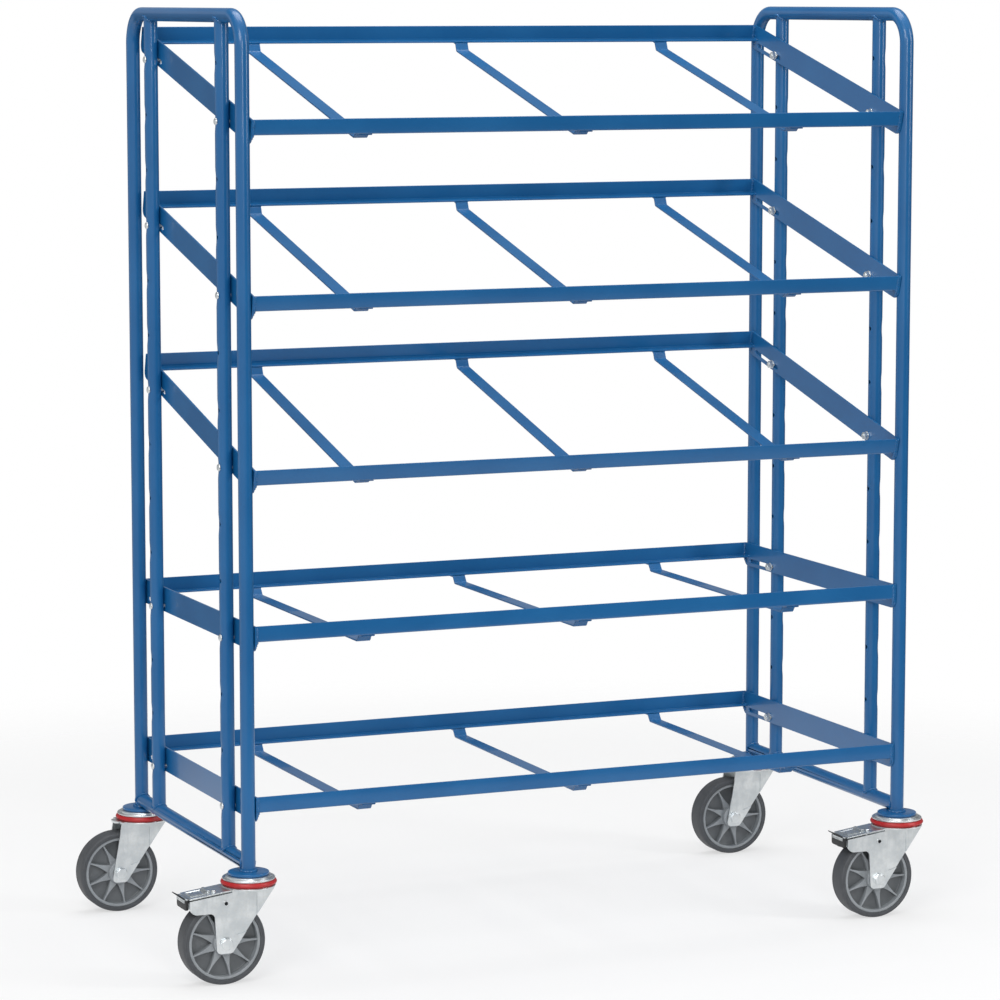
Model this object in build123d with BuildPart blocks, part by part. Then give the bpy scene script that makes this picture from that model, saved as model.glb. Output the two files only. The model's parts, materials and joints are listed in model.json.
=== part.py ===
"""Trolley for stacking boxes: two round-tube end frames, five bolted trays and four swivel casters.

Millimetres. +Z is up, X runs along the trays, the low front edge of the trays faces -Y.
The origin lies on the floor under the middle of the whole trolley.
"""
import os
from math import atan2, cos, sin

from build123d import *

os.makedirs("parts", exist_ok=True)

# Round tube of the end frames
tube_diameter = 25.0
tube_wall = 2.0
leg_inset = 5.0
post_inset = 105.0
bend_radius = 54.0
foot_length = 83.0
head_length = 81.5

# Holes and bolts that set the trays' heights
hole_pitch = 100.0
bolt_diameter = 8.0
hole_clearance = 0.25
bolt_head_diameter = 16.0
bolt_head_height = 4.5
bolt_head_rounding = 3.1
bolt_end = 2.0
nut_across_flats = 13.0
nut_height = 6.5
washer_diameter = 16.0
washer_thickness = 1.6

# Trays
tray_count = 5
tilted_trays = 3
holes_per_tray = 3
load_length = 1250.0
load_depth = 610.0
sheet = 3.0
angle_height = 28.0
angle_width = 20.0
plate_height = 45.0
plate_corner = 13.0
bolt_edge = 10.5
slot_front_margin = 7.0
slot_back_margin = 26.0
strip_count = 3
strip_width = 25.0
strip_end_gap = 5.0
strip_step = 12.0
strip_step_run = 9.0

# Wheels of the casters
wheel_diameter = 150.0
tyre_width = 40.0
tyre_thickness = 9.5
tyre_shoulder = 4.0
rim_recess = 1.5
rim_wall = 4.7
web_thickness = 6.0
hub_wall = 8.0
spoke_count = 9
spoke_depth = 30.0
spoke_root = 16.0
spoke_waist = 5.0
spoke_tip = 3.6
spoke_embed = 2.2
bearing_wall = 6.0
bearing_length = 12.0
sleeve_wall = 2.0
axle_diameter = 12.0
axle_head_across_flats = 19.0
axle_head_height = 7.5
axle_nut_height = 10.0
axle_end = 3.0

# Swivel bearings between the legs and the forks
headroom = 39.0
trail = 51.0
disc_inset = 9.0
disc_thickness = 5.0
race_overhang = 1.5
race_height = 8.0
race_step = 4.0
race_shoulder = 5.5
bearing_gap = 10.0
ball_clearance = 0.3
ball_inset = 11.0
ball_count = 16
seal_overhang = 4.5
seal_clearance = 1.5
stem_diameter = 12.0
stem_head_clearance = 1.25
stem_head_height = 7.0
stem_nut_across_flats = 19.0
stem_nut_height = 9.0

# Forks
tyre_side_gap = 4.0
fork_sheet = 3.5
crown_diameter = 90.0
cheek_front = 38.0
leg_foot = 17.5
foot_front = 11.0
foot_back = 17.0
foot_rounding = 8.0
rear_flange = 3.0
rear_tab_reach = 58.0
rear_tab_width = 30.0
rear_tab_rounding = 8.0
tongue_start = 22.5
tongue_setback = 9.0
tongue_drop = 12.0
tongue_height = 29.0
tongue_root = 21.0
tongue_root_rounding = 9.0
tongue_tip_rounding = 14.0

# Brakes of the two front casters
pivot_drop = 24.6
rivet_diameter = 8.6
rivet_wall = 1.0
rivet_flange = 1.1
rivet_flange_thickness = 1.0
arm_thickness = 2.0
arm_height = 11.0
arm_clearance = 0.6
pedal_thickness = 2.0
pedal_gap = 1.5
pedal_web = 4.0
pedal_width = 40.0
pedal_length = 17.0
pedal_rise = 8.5
shoe_length = 14.0
shoe_height = 15.0
shoe_shoulder = 4.0
shoe_bevel_run = 3.0
shoe_bevel_rise = 4.0
shoe_inset = 1.0

# Clearances between neighbouring pieces
weld_gap = 0.05
running_gap = 0.05
free_gap = 0.4

# Places worked out from the sizes above
tube_radius = tube_diameter / 2
leg_spacing = load_depth - 2 * leg_inset
post_spacing = leg_spacing - 2 * post_inset
bolt_hole_radius = bolt_diameter / 2 + hole_clearance
wheel_radius = wheel_diameter / 2
tongue_reach = trail + wheel_radius - tongue_setback
pedal_reach = tongue_reach + pedal_length
seal_diameter = crown_diameter + 2 * seal_overhang
race_diameter = crown_diameter + 2 * race_overhang
disc_diameter = crown_diameter - 2 * disc_inset
ball_ring_diameter = crown_diameter - 2 * ball_inset
centre_x = (pedal_reach - seal_diameter / 2) / 2
end_offset = load_length / 2 + sheet + weld_gap + tube_radius
end_frames = {"left": -1, "right": 1}
caster_height = wheel_diameter + headroom
leg_foot_height = caster_height + disc_thickness
bottom_rail_height = leg_foot_height + tube_radius
lowest_hole = bottom_rail_height + foot_length
hole_count = holes_per_tray * (tray_count - 1) + 2
bow_height = lowest_hole + (hole_count - 1) * hole_pitch + head_length
tilt = atan2(hole_pitch, post_spacing)
crown_top = caster_height - race_height - bearing_gap
fork_gap = tyre_width + 2 * tyre_side_gap
fork_half_width = fork_gap / 2 + fork_sheet
sleeve_diameter = axle_diameter + 2 * sleeve_wall
bearing_diameter = sleeve_diameter + 2 * bearing_wall
hub_diameter = bearing_diameter + 2 * hub_wall
pivot_height = crown_top - pivot_drop
rivet_bore = rivet_diameter - 2 * rivet_wall
casters = {
    "front_left": (-1, -1),
    "back_left": (-1, 1),
    "front_right": (1, -1),
    "back_right": (1, 1),
}


def save(builder: BuildPart, name: str) -> None:
    """Label a finished piece and write it to its own file."""
    builder.part.label = name
    export_step(builder.part, f"parts/{name}.step")


def end_x(side: int) -> float:
    """X of an end frame's tube axes, for the left (-1) or the right (1) end."""
    return centre_x + side * end_offset


def caster_place(name: str) -> tuple[float, float]:
    """X and Y of a caster's swivel axis."""
    side, row = casters[name]
    return end_x(side), row * leg_spacing / 2


def hole_height(index: int) -> float:
    """Height of a post hole, counted from the lowest one."""
    return lowest_hole + index * hole_pitch


# End frames: a bow with two legs, two posts and a bottom rail
for side_name, side in end_frames.items():
    x = end_x(side)
    leg_y = leg_spacing / 2
    with BuildPart() as bow:
        with BuildLine() as bow_path:
            FilletPolyline(
                (x, -leg_y, leg_foot_height),
                (x, -leg_y, bow_height),
                (x, leg_y, bow_height),
                (x, leg_y, leg_foot_height),
                radius=bend_radius,
            )
        with BuildSketch(Plane(origin=(x, -leg_y, leg_foot_height))):
            Circle(tube_radius)
            Circle(tube_radius - tube_wall, mode=Mode.SUBTRACT)
        sweep(path=bow_path.line)
    save(bow, f"{side_name}_bow")

    with BuildPart() as bottom_rail:
        with BuildSketch(Plane(origin=(x, -leg_y, bottom_rail_height), z_dir=(0, 1, 0))):
            Circle(tube_radius)
            Circle(tube_radius - tube_wall, mode=Mode.SUBTRACT)
        extrude(amount=leg_spacing)
        with Locations((x, -leg_y, bottom_rail_height), (x, leg_y, bottom_rail_height)):
            Cylinder(tube_radius + weld_gap, 3 * tube_diameter, mode=Mode.SUBTRACT)
    save(bottom_rail, f"{side_name}_bottom_rail")

    for row_name, row in {"front": -1, "back": 1}.items():
        post_y = row * post_spacing / 2
        with BuildPart() as post:
            with BuildSketch(Plane(origin=(x, post_y, bottom_rail_height))):
                Circle(tube_radius)
                Circle(tube_radius - tube_wall, mode=Mode.SUBTRACT)
            extrude(amount=bow_height - bottom_rail_height)
            with Locations((x, post_y, bottom_rail_height), (x, post_y, bow_height)):
                Cylinder(
                    tube_radius + weld_gap,
                    3 * tube_diameter,
                    rotation=(90, 0, 0),
                    mode=Mode.SUBTRACT,
                )
            with Locations(*[(x, post_y, hole_height(index)) for index in range(hole_count)]):
                Cylinder(
                    bolt_hole_radius,
                    2 * tube_diameter,
                    rotation=(0, 90, 0),
                    mode=Mode.SUBTRACT,
                )
        save(post, f"{side_name}_{row_name}_post")

# Trays: two angle rails, two side plates and cross strips, each tray rigid and tilted as a whole
bolt_line_to_rail = plate_height - bolt_edge - angle_height
rail_front = (post_spacing - load_depth) / 2 - sheet
rail_back = rail_front + load_depth + 2 * sheet
bolt_places = []
for number in range(1, tray_count + 1):
    front_hole = holes_per_tray * (tray_count - number)
    rise = 1 if number <= tilted_trays else 0
    angle = tilt * rise
    along = (0, cos(angle), sin(angle))
    front_height = hole_height(front_hole)
    bolt_places += [(-1, front_hole), (1, front_hole + rise)]
    left_end = Plane(
        origin=(centre_x - load_length / 2, -post_spacing / 2, front_height),
        x_dir=along,
        z_dir=(1, 0, 0),
    )
    low = bolt_line_to_rail
    high = low + angle_height

    with BuildPart() as rails:
        with BuildSketch(left_end):
            with BuildLine():
                Polyline(
                    (rail_front, low),
                    (rail_front + angle_width, low),
                    (rail_front + angle_width, low + sheet),
                    (rail_front + sheet, low + sheet),
                    (rail_front + sheet, high),
                    (rail_front, high),
                    close=True,
                )
            make_face()
            with BuildLine():
                Polyline(
                    (rail_back, low),
                    (rail_back - angle_width, low),
                    (rail_back - angle_width, low + sheet),
                    (rail_back - sheet, low + sheet),
                    (rail_back - sheet, high),
                    (rail_back, high),
                    close=True,
                )
            make_face()
        extrude(amount=load_length)
    save(rails, f"tray_{number}_rails")

    with BuildPart() as plates:
        for offset, direction in ((0.0, -1), (load_length, 1)):
            with BuildSketch(left_end.offset(offset)) as outline:
                with BuildLine():
                    Polyline(
                        (rail_front, -bolt_edge),
                        (rail_back, -bolt_edge),
                        (rail_back, plate_height - bolt_edge),
                        (rail_front, plate_height - bolt_edge),
                        close=True,
                    )
                make_face()
                fillet(outline.vertices().group_by(Axis.Y)[0], radius=plate_corner)
                Circle(bolt_hole_radius, mode=Mode.SUBTRACT)
                slot_start = post_spacing - slot_front_margin
                slot_end = rail_back - slot_back_margin
                with Locations(((slot_start + slot_end) / 2, 0)):
                    SlotCenterToCenter(
                        slot_end - slot_start,
                        2 * bolt_hole_radius,
                        mode=Mode.SUBTRACT,
                    )
            extrude(amount=direction * sheet)
    save(plates, f"tray_{number}_side_plates")

    strip_front = rail_front + strip_end_gap
    strip_back = rail_back - strip_end_gap
    step_front = rail_front + angle_width
    step_back = rail_back - angle_width
    with BuildPart() as strips:
        for index in range(strip_count):
            strip_x = load_length * (index + 0.5) / strip_count - strip_width / 2
            with BuildSketch(left_end.offset(strip_x)):
                with BuildLine():
                    Polyline(
                        (strip_front, low),
                        (step_front, low),
                        (step_front + strip_step_run, low - strip_step),
                        (step_back - strip_step_run, low - strip_step),
                        (step_back, low),
                        (strip_back, low),
                        (strip_back, low - sheet),
                        (step_back - sheet / 2, low - sheet),
                        (step_back - strip_step_run - sheet / 2, low - strip_step - sheet),
                        (step_front + strip_step_run + sheet / 2, low - strip_step - sheet),
                        (step_front + sheet / 2, low - sheet),
                        (strip_front, low - sheet),
                        close=True,
                    )
                make_face()
            extrude(amount=strip_width)
    save(strips, f"tray_{number}_cross_strips")

# Bolts through posts and plates, with washers and nuts inside
head_seats = []
plate_faces = []
for side in end_frames.values():
    turn = (0, -90 * side, 0)
    outside = end_x(side) + side * (tube_radius + weld_gap)
    inside = end_x(side) - side * (tube_radius + weld_gap + sheet)
    for row, index in bolt_places:
        bolt_y = row * post_spacing / 2
        head_seats.append(Location((outside, bolt_y, hole_height(index)), turn))
        plate_faces.append(Location((inside, bolt_y, hole_height(index)), turn))
nut_seats = [place * Location((0, 0, washer_thickness)) for place in plate_faces]
grip = tube_diameter + 2 * weld_gap + sheet
shank_length = grip + washer_thickness + nut_height + bolt_end

with BuildPart() as tray_bolts:
    with Locations(*head_seats):
        Cylinder(bolt_head_diameter / 2, bolt_head_height, align=(Align.CENTER, Align.CENTER, Align.MAX))
    outer_rims = [
        edge
        for edge in tray_bolts.edges().filter_by(GeomType.CIRCLE)
        if abs(edge.center().X - centre_x) > end_offset + tube_radius + bolt_head_height / 2
    ]
    fillet(outer_rims, radius=bolt_head_rounding)
    with Locations(*head_seats):
        Cylinder(bolt_diameter / 2, shank_length, align=(Align.CENTER, Align.CENTER, Align.MIN))
save(tray_bolts, "tray_bolts")

with BuildPart() as tray_washers:
    with BuildSketch(*[Plane(place) for place in plate_faces]):
        Circle(washer_diameter / 2)
        Circle(bolt_hole_radius, mode=Mode.SUBTRACT)
    extrude(amount=washer_thickness)
save(tray_washers, "tray_washers")

with BuildPart() as tray_nuts:
    with BuildSketch(*[Plane(place) for place in nut_seats]):
        RegularPolygon(nut_across_flats / 2, 6, major_radius=False)
        Circle(bolt_diameter / 2 + running_gap, mode=Mode.SUBTRACT)
    extrude(amount=nut_height)
save(tray_nuts, "tray_nuts")

# Caster seats under the legs: welded disc, upper ball race, balls and king bolt
swivel_places = [caster_place(name) for name in casters]

with BuildPart() as caster_discs:
    with BuildSketch(Plane.XY.offset(caster_height)):
        with Locations(*swivel_places):
            Circle(disc_diameter / 2)
            Circle(stem_diameter / 2 + running_gap, mode=Mode.SUBTRACT)
    extrude(amount=disc_thickness)
save(caster_discs, "caster_discs")

race_bottom = caster_height - race_height
with BuildPart() as upper_races:
    with BuildSketch(Plane.XY.offset(race_bottom)):
        with Locations(*swivel_places):
            Circle(race_diameter / 2)
            Circle(stem_diameter / 2 + running_gap, mode=Mode.SUBTRACT)
    extrude(amount=race_step)
    with BuildSketch(Plane.XY.offset(race_bottom + race_step)):
        with Locations(*swivel_places):
            Circle(race_diameter / 2 - race_shoulder)
            Circle(stem_diameter / 2 + running_gap, mode=Mode.SUBTRACT)
    extrude(amount=race_height - race_step)
save(upper_races, "upper_races")

ball_radius = bearing_gap / 2 - ball_clearance
ball_height = crown_top + bearing_gap / 2
with BuildPart() as swivel_balls:
    for place_x, place_y in swivel_places:
        with Locations((place_x, place_y, ball_height)):
            with PolarLocations(ball_ring_diameter / 2, ball_count):
                Sphere(ball_radius)
save(swivel_balls, "swivel_balls")

stem_nut_top = crown_top - fork_sheet - free_gap
with BuildPart() as king_bolts:
    with BuildSketch(Plane.XY.offset(leg_foot_height)):
        with Locations(*swivel_places):
            RegularPolygon(tube_radius - tube_wall - stem_head_clearance, 6)
    extrude(amount=stem_head_height)
    with BuildSketch(Plane.XY.offset(leg_foot_height)):
        with Locations(*swivel_places):
            Circle(stem_diameter / 2)
    extrude(amount=stem_nut_top - leg_foot_height)
    with BuildSketch(Plane.XY.offset(stem_nut_top)):
        with Locations(*swivel_places):
            RegularPolygon(stem_nut_across_flats / 2, 6, major_radius=False)
    extrude(amount=-stem_nut_height)
save(king_bolts, "king_bolts")


def fork_corners(braked: bool) -> list[tuple[float, float, float]]:
    """Corners of a fork's side view, clockwise from the top right: X from the swivel axis, height, rounding."""
    foot_bottom = wheel_radius - leg_foot
    right_edge = [
        (cheek_front, crown_top, 0),
        (cheek_front, crown_top - fork_sheet, 0),
        (-trail + foot_front, foot_bottom, foot_rounding),
        (-trail - foot_back, foot_bottom, foot_rounding),
    ]
    if not braked:
        flange_left = -crown_diameter / 2 - rear_flange
        return right_edge + [(flange_left, crown_top - fork_sheet, 0), (flange_left, crown_top, 0)]
    tip_top = crown_top - tongue_drop
    tip_bottom = tip_top - tongue_height
    return right_edge + [
        (-trail - tongue_root, tip_bottom, tongue_root_rounding),
        (-tongue_reach, tip_bottom, tongue_tip_rounding),
        (-tongue_reach, tip_top, 0),
        (-tongue_start, crown_top, 0),
    ]


for name, (side, row) in casters.items():
    braked = row < 0
    x, y = caster_place(name)
    wheel_x = x - trail
    side_view = Plane(origin=(x, y, 0), x_dir=(1, 0, 0), z_dir=(0, -1, 0))
    wheel_side = Plane(origin=(wheel_x, y, wheel_radius), x_dir=(1, 0, 0), z_dir=(0, -1, 0))
    wheel_section = Plane(origin=(wheel_x, y, wheel_radius), x_dir=(0, 1, 0), z_dir=(1, 0, 0))
    wheel_axis = Axis((wheel_x, y, wheel_radius), (0, 1, 0))

    with BuildPart() as fork:
        with BuildSketch(side_view) as outline:
            with BuildLine():
                Polyline(*[corner[:2] for corner in fork_corners(braked)], close=True)
            make_face()
            for corner_x, corner_z, rounding in fork_corners(braked):
                if rounding:
                    fillet(outline.vertices().sort_by_distance((corner_x, corner_z, 0))[0], radius=rounding)
        extrude(amount=fork_half_width, both=True)
        hollow_top = crown_top - fork_sheet
        hollow_tip = hollow_top - tongue_drop if braked else hollow_top
        with BuildSketch(side_view):
            with BuildLine():
                Polyline(
                    (crown_diameter, hollow_top),
                    (-tongue_start, hollow_top),
                    (-tongue_reach, hollow_tip),
                    (-2 * tongue_reach, hollow_tip),
                    (-2 * tongue_reach, 0),
                    (crown_diameter, 0),
                    close=True,
                )
            make_face()
        extrude(amount=fork_gap / 2, both=True, mode=Mode.SUBTRACT)
        with BuildSketch(Plane.XY.offset(hollow_top)):
            with Locations((x, y)):
                Circle(crown_diameter / 2)
        extrude(amount=fork_sheet)
        if not braked:
            with BuildSketch(Plane.XY.offset(hollow_top)) as tab:
                with Locations((x - (rear_tab_reach + tongue_start) / 2, y)):
                    Rectangle(rear_tab_reach - tongue_start, rear_tab_width)
                fillet(tab.vertices().group_by(Axis.X)[0], radius=rear_tab_rounding)
            extrude(amount=fork_sheet)
        with Locations((x, y, crown_top)):
            Cylinder(stem_diameter / 2 + free_gap, 4 * fork_sheet, mode=Mode.SUBTRACT)
        with BuildSketch(side_view):
            with Locations((-trail, wheel_radius)):
                Circle(axle_diameter / 2 + running_gap)
            if braked:
                with Locations((-trail, pivot_height)):
                    Circle(rivet_diameter / 2 + running_gap)
        extrude(amount=2 * fork_gap, both=True, mode=Mode.SUBTRACT)
    save(fork, f"{name}_fork")

    seal_inner_radius = ball_ring_diameter / 2 + bearing_gap / 2 + seal_clearance
    with BuildPart() as seal:
        with BuildSketch(Plane.XY.offset(crown_top)):
            with Locations((x, y)):
                Circle(seal_diameter / 2)
                Circle(seal_inner_radius, mode=Mode.SUBTRACT)
        extrude(amount=bearing_gap - free_gap)
    save(seal, f"{name}_seal_ring")

    with BuildPart() as axle:
        with BuildSketch(wheel_side.offset(fork_half_width)):
            RegularPolygon(axle_head_across_flats / 2, 6, major_radius=False)
        extrude(amount=axle_head_height)
        with BuildSketch(wheel_side.offset(fork_half_width)):
            Circle(axle_diameter / 2)
        extrude(amount=-(2 * fork_half_width + axle_nut_height + axle_end))
        with BuildSketch(wheel_side.offset(-fork_half_width)):
            RegularPolygon(axle_head_across_flats / 2, 6, major_radius=False)
            Circle(axle_diameter / 2 + running_gap, mode=Mode.SUBTRACT)
        extrude(amount=-axle_nut_height)
        with BuildSketch(wheel_side.offset(-fork_gap / 2)):
            Circle(sleeve_diameter / 2)
            Circle(axle_diameter / 2 + running_gap, mode=Mode.SUBTRACT)
        extrude(amount=fork_gap)
    save(axle, f"{name}_axle")

    rim_radius = wheel_radius - tyre_thickness
    with BuildPart() as tyre:
        with BuildSketch(wheel_section) as tread:
            with Locations((0, wheel_radius - (tyre_thickness - weld_gap) / 2)):
                Rectangle(tyre_width, tyre_thickness - weld_gap)
            fillet(tread.vertices().group_by(Axis.Y)[-1], radius=tyre_shoulder)
        revolve(axis=wheel_axis)
    save(tyre, f"{name}_tyre")

    hub_length = fork_gap - 2 * free_gap
    with BuildPart() as rim:
        with BuildSketch(wheel_section):
            with Locations((0, rim_radius - rim_wall / 2)):
                Rectangle(tyre_width - 2 * rim_recess, rim_wall)
            with Locations((0, rim_radius / 2)):
                Rectangle(web_thickness, rim_radius - rim_wall)
            with Locations((0, hub_diameter / 4)):
                Rectangle(hub_length, hub_diameter / 2)
        revolve(axis=wheel_axis)
        root_radius = hub_diameter / 2 - spoke_embed
        tip_radius = rim_radius - rim_wall / 2
        middle_radius = (root_radius + tip_radius) / 2
        with BuildSketch(wheel_side):
            with PolarLocations(0, spoke_count, start_angle=90):
                with BuildLine():
                    Line((root_radius, -spoke_root / 2), (root_radius, spoke_root / 2))
                    ThreePointArc(
                        (root_radius, spoke_root / 2),
                        (middle_radius, spoke_waist / 2),
                        (tip_radius, spoke_tip / 2),
                    )
                    Line((tip_radius, spoke_tip / 2), (tip_radius, -spoke_tip / 2))
                    ThreePointArc(
                        (tip_radius, -spoke_tip / 2),
                        (middle_radius, -spoke_waist / 2),
                        (root_radius, -spoke_root / 2),
                    )
                make_face()
        extrude(amount=spoke_depth / 2, both=True)
        with BuildSketch(wheel_side):
            Circle(bearing_diameter / 2)
        extrude(amount=fork_gap, both=True, mode=Mode.SUBTRACT)
    save(rim, f"{name}_rim")

    with BuildPart() as bearings:
        with BuildSketch(
            wheel_side.offset(hub_length / 2 - bearing_length),
            wheel_side.offset(-hub_length / 2),
        ):
            Circle(bearing_diameter / 2 - running_gap)
            Circle(sleeve_diameter / 2 + running_gap, mode=Mode.SUBTRACT)
        extrude(amount=bearing_length)
    save(bearings, f"{name}_bearings")

    if not braked:
        continue

    arm_outer = fork_gap / 2 - arm_clearance
    plate_top = crown_top - tongue_drop
    shoe_width = tyre_width - 2 * shoe_inset
    plate_bottom = plate_top - pedal_thickness
    web_right = -tongue_reach - pedal_gap
    web_left = web_right - pedal_web
    with BuildPart() as pedal:
        for face in (arm_outer, -arm_outer + arm_thickness):
            with BuildSketch(side_view.offset(face)):
                with BuildLine():
                    Polyline(
                        (-trail + arm_height, pivot_height - arm_height / 2),
                        (web_right, pivot_height - arm_height / 2),
                        (web_left, plate_bottom - arm_height / 2),
                        (web_left, plate_bottom),
                        (web_right, plate_bottom),
                        (web_right, pivot_height + arm_height / 2),
                        (-trail + arm_height, pivot_height + arm_height / 2),
                        close=True,
                    )
                make_face()
                with Locations((-trail, pivot_height)):
                    Circle(rivet_diameter / 2 + running_gap, mode=Mode.SUBTRACT)
            extrude(amount=-arm_thickness)
        with BuildSketch(side_view.offset(arm_outer)):
            with BuildLine():
                Polyline(
                    (web_right, plate_bottom),
                    (web_right, plate_top),
                    (web_left, plate_top),
                    (web_left, plate_bottom),
                    close=True,
                )
            make_face()
        extrude(amount=-2 * arm_outer)
        with BuildSketch(side_view.offset(pedal_width / 2)):
            with BuildLine():
                Polyline(
                    (web_left, plate_bottom),
                    (web_left, plate_top),
                    (-pedal_reach, plate_top + pedal_rise - pedal_thickness),
                    (-pedal_reach, plate_bottom + pedal_rise - pedal_thickness),
                    close=True,
                )
            make_face()
        extrude(amount=-pedal_width)
    save(pedal, f"{name}_brake_pedal")

    with BuildPart() as shoe:
        with BuildSketch(side_view.offset(shoe_width / 2)):
            with BuildLine():
                Polyline(
                    (web_left, plate_bottom),
                    (web_left, plate_bottom - shoe_height + shoe_bevel_rise),
                    (web_left + shoe_bevel_run, plate_bottom - shoe_height),
                    (web_left + shoe_length, plate_bottom - shoe_height),
                    (web_left + shoe_length, plate_bottom - shoe_shoulder),
                    (web_right, plate_bottom - shoe_shoulder),
                    (web_right, plate_bottom),
                    close=True,
                )
            make_face()
        extrude(amount=-shoe_width)
    save(shoe, f"{name}_brake_shoe")

    with BuildPart() as rivets:
        for face, outward in ((fork_half_width, 1), (-fork_half_width, -1)):
            pivot_face = side_view.offset(face)
            with BuildSketch(pivot_face):
                with Locations((-trail, pivot_height)):
                    Circle(rivet_diameter / 2 + rivet_flange)
                    Circle(rivet_bore / 2, mode=Mode.SUBTRACT)
            extrude(amount=outward * rivet_flange_thickness)
            with BuildSketch(pivot_face):
                with Locations((-trail, pivot_height)):
                    Circle(rivet_diameter / 2)
                    Circle(rivet_bore / 2, mode=Mode.SUBTRACT)
            extrude(amount=-outward * (fork_sheet + arm_clearance + arm_thickness))
    save(rivets, f"{name}_brake_rivets")
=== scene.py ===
"""Looks of a box trolley: bent tube end frames, five folded trays and four plated casters in a studio.

Metres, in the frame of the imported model: Z is up, X runs along the trays and the front faces -Y.
"""
import json
import logging
import math
from contextlib import contextmanager
from dataclasses import dataclass
from enum import Enum
from typing import Any, Callable, Iterator, Optional, Sequence, Union

import bpy
from mathutils import Matrix, Vector

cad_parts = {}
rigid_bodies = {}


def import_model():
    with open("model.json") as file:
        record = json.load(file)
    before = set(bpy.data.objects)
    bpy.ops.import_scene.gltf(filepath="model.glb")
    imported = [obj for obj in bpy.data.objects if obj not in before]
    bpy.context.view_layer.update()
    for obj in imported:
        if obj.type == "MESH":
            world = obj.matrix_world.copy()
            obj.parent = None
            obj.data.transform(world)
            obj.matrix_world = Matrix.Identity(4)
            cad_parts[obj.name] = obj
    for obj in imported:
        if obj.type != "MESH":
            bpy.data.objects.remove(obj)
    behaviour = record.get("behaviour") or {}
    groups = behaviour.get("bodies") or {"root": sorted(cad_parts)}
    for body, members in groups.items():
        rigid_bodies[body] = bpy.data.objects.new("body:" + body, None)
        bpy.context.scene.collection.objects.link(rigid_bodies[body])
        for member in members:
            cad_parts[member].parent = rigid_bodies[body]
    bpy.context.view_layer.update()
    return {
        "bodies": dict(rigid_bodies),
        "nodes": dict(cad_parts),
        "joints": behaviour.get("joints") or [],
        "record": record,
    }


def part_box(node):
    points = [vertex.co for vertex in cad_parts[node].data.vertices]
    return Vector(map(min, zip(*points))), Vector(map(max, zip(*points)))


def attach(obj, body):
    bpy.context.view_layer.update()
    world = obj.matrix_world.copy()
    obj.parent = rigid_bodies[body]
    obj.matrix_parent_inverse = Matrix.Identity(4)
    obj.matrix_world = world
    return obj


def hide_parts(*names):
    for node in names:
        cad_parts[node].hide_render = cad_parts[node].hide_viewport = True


LOG = logging.getLogger("trolley")
MERGE = 1e-6
NEAR = 1e-4
AXIS_GAP = 0.0002
HOLE_SIDES = 32
RIPPLE_TURN = 2.1
SWELL_TURN = 0.73
BEAD_TAPER = 0.45
FACING = 0.99
FLAT_TURN = math.radians(0.5)
# Point attribute that marks the rim's pockets, where its finish paints shade.
PAINTED_SHADE_ATTRIBUTE = "pocket"
Point = tuple[float, float]
Span = tuple[float, float]
Place = tuple[float, float, float]
Corner = tuple[float, float, float]
Colour = tuple[float, float, float]
Spot = Union[Vector, Sequence[float]]
Piece = bpy.types.Object


def rounded_outline(corners: Sequence[Corner], steps: int = 5) -> list[Point]:
    """Rounds the corners of a closed outline with arcs.

    Args:
        corners: across, up and radius of each corner in turn; a radius of 0 leaves it sharp.
        steps: stretches in each arc.

    Returns:
        The points of the rounded outline.
    """
    points: list[Point] = []
    for index, (across, up, radius) in enumerate(corners):
        if radius == 0:
            points.append((across, up))
            continue
        corner = Vector((across, up))
        before = (Vector(corners[index - 1][:2]) - corner).normalized()
        after = (Vector(corners[(index + 1) % len(corners)][:2]) - corner).normalized()
        half = before.angle(after) / 2
        middle = corner + (before + after).normalized() * (radius / math.sin(half))
        start = corner + before * (radius / math.tan(half)) - middle
        end = corner + after * (radius / math.tan(half)) - middle
        first = math.atan2(start.y, start.x)
        sweep = (math.atan2(end.y, end.x) - first + math.pi) % (2 * math.pi) - math.pi
        for step in range(steps + 1):
            angle = first + sweep * step / steps
            points.append((middle.x + radius * math.cos(angle), middle.y + radius * math.sin(angle)))
    return points


def rectangle(left: float, right: float, low: float, high: float, rounding: float = 0) -> list[Point]:
    """Draws a rectangle, with its corners rounded by three stretches each unless rounding is 0."""
    corners = [(left, low, rounding), (right, low, rounding), (right, high, rounding), (left, high, rounding)]
    return rounded_outline(corners, 3)


def mirrored(upper: Sequence[Corner]) -> list[Corner]:
    """Gives a half profile's corners in reverse, at the opposite heights."""
    return [(radius, -height, rounding) for radius, height, rounding in upper[::-1]]


def plane(across: Spot, up: Spot, origin: Spot = (0, 0, 0)) -> Matrix:
    """Makes the matrix of a drawing plane.

    Args:
        across: direction of the drawing's first axis.
        up: direction of its second axis.
        origin: where the drawing's zero is.

    Returns:
        The matrix; its third axis is the plane's normal.
    """
    first, second = Vector(across), Vector(up)
    matrix = Matrix((first, second, first.cross(second))).transposed().to_4x4()
    matrix.translation = Vector(origin)
    return matrix


SIDE_VIEW = plane((1, 0, 0), (0, 0, 1))
END_VIEW = plane((0, 1, 0), (0, 0, 1))
ALONG_Y = Matrix.Rotation(-math.pi / 2, 4, "X")
ALONG_X = Matrix.Rotation(math.pi / 2, 4, "Y")


class Element(Enum):
    """What a selection holds, as Blender's mesh select mode."""
    VERTEX = (True, False, False)
    EDGE = (False, True, False)
    FACE = (False, False, True)


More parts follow.
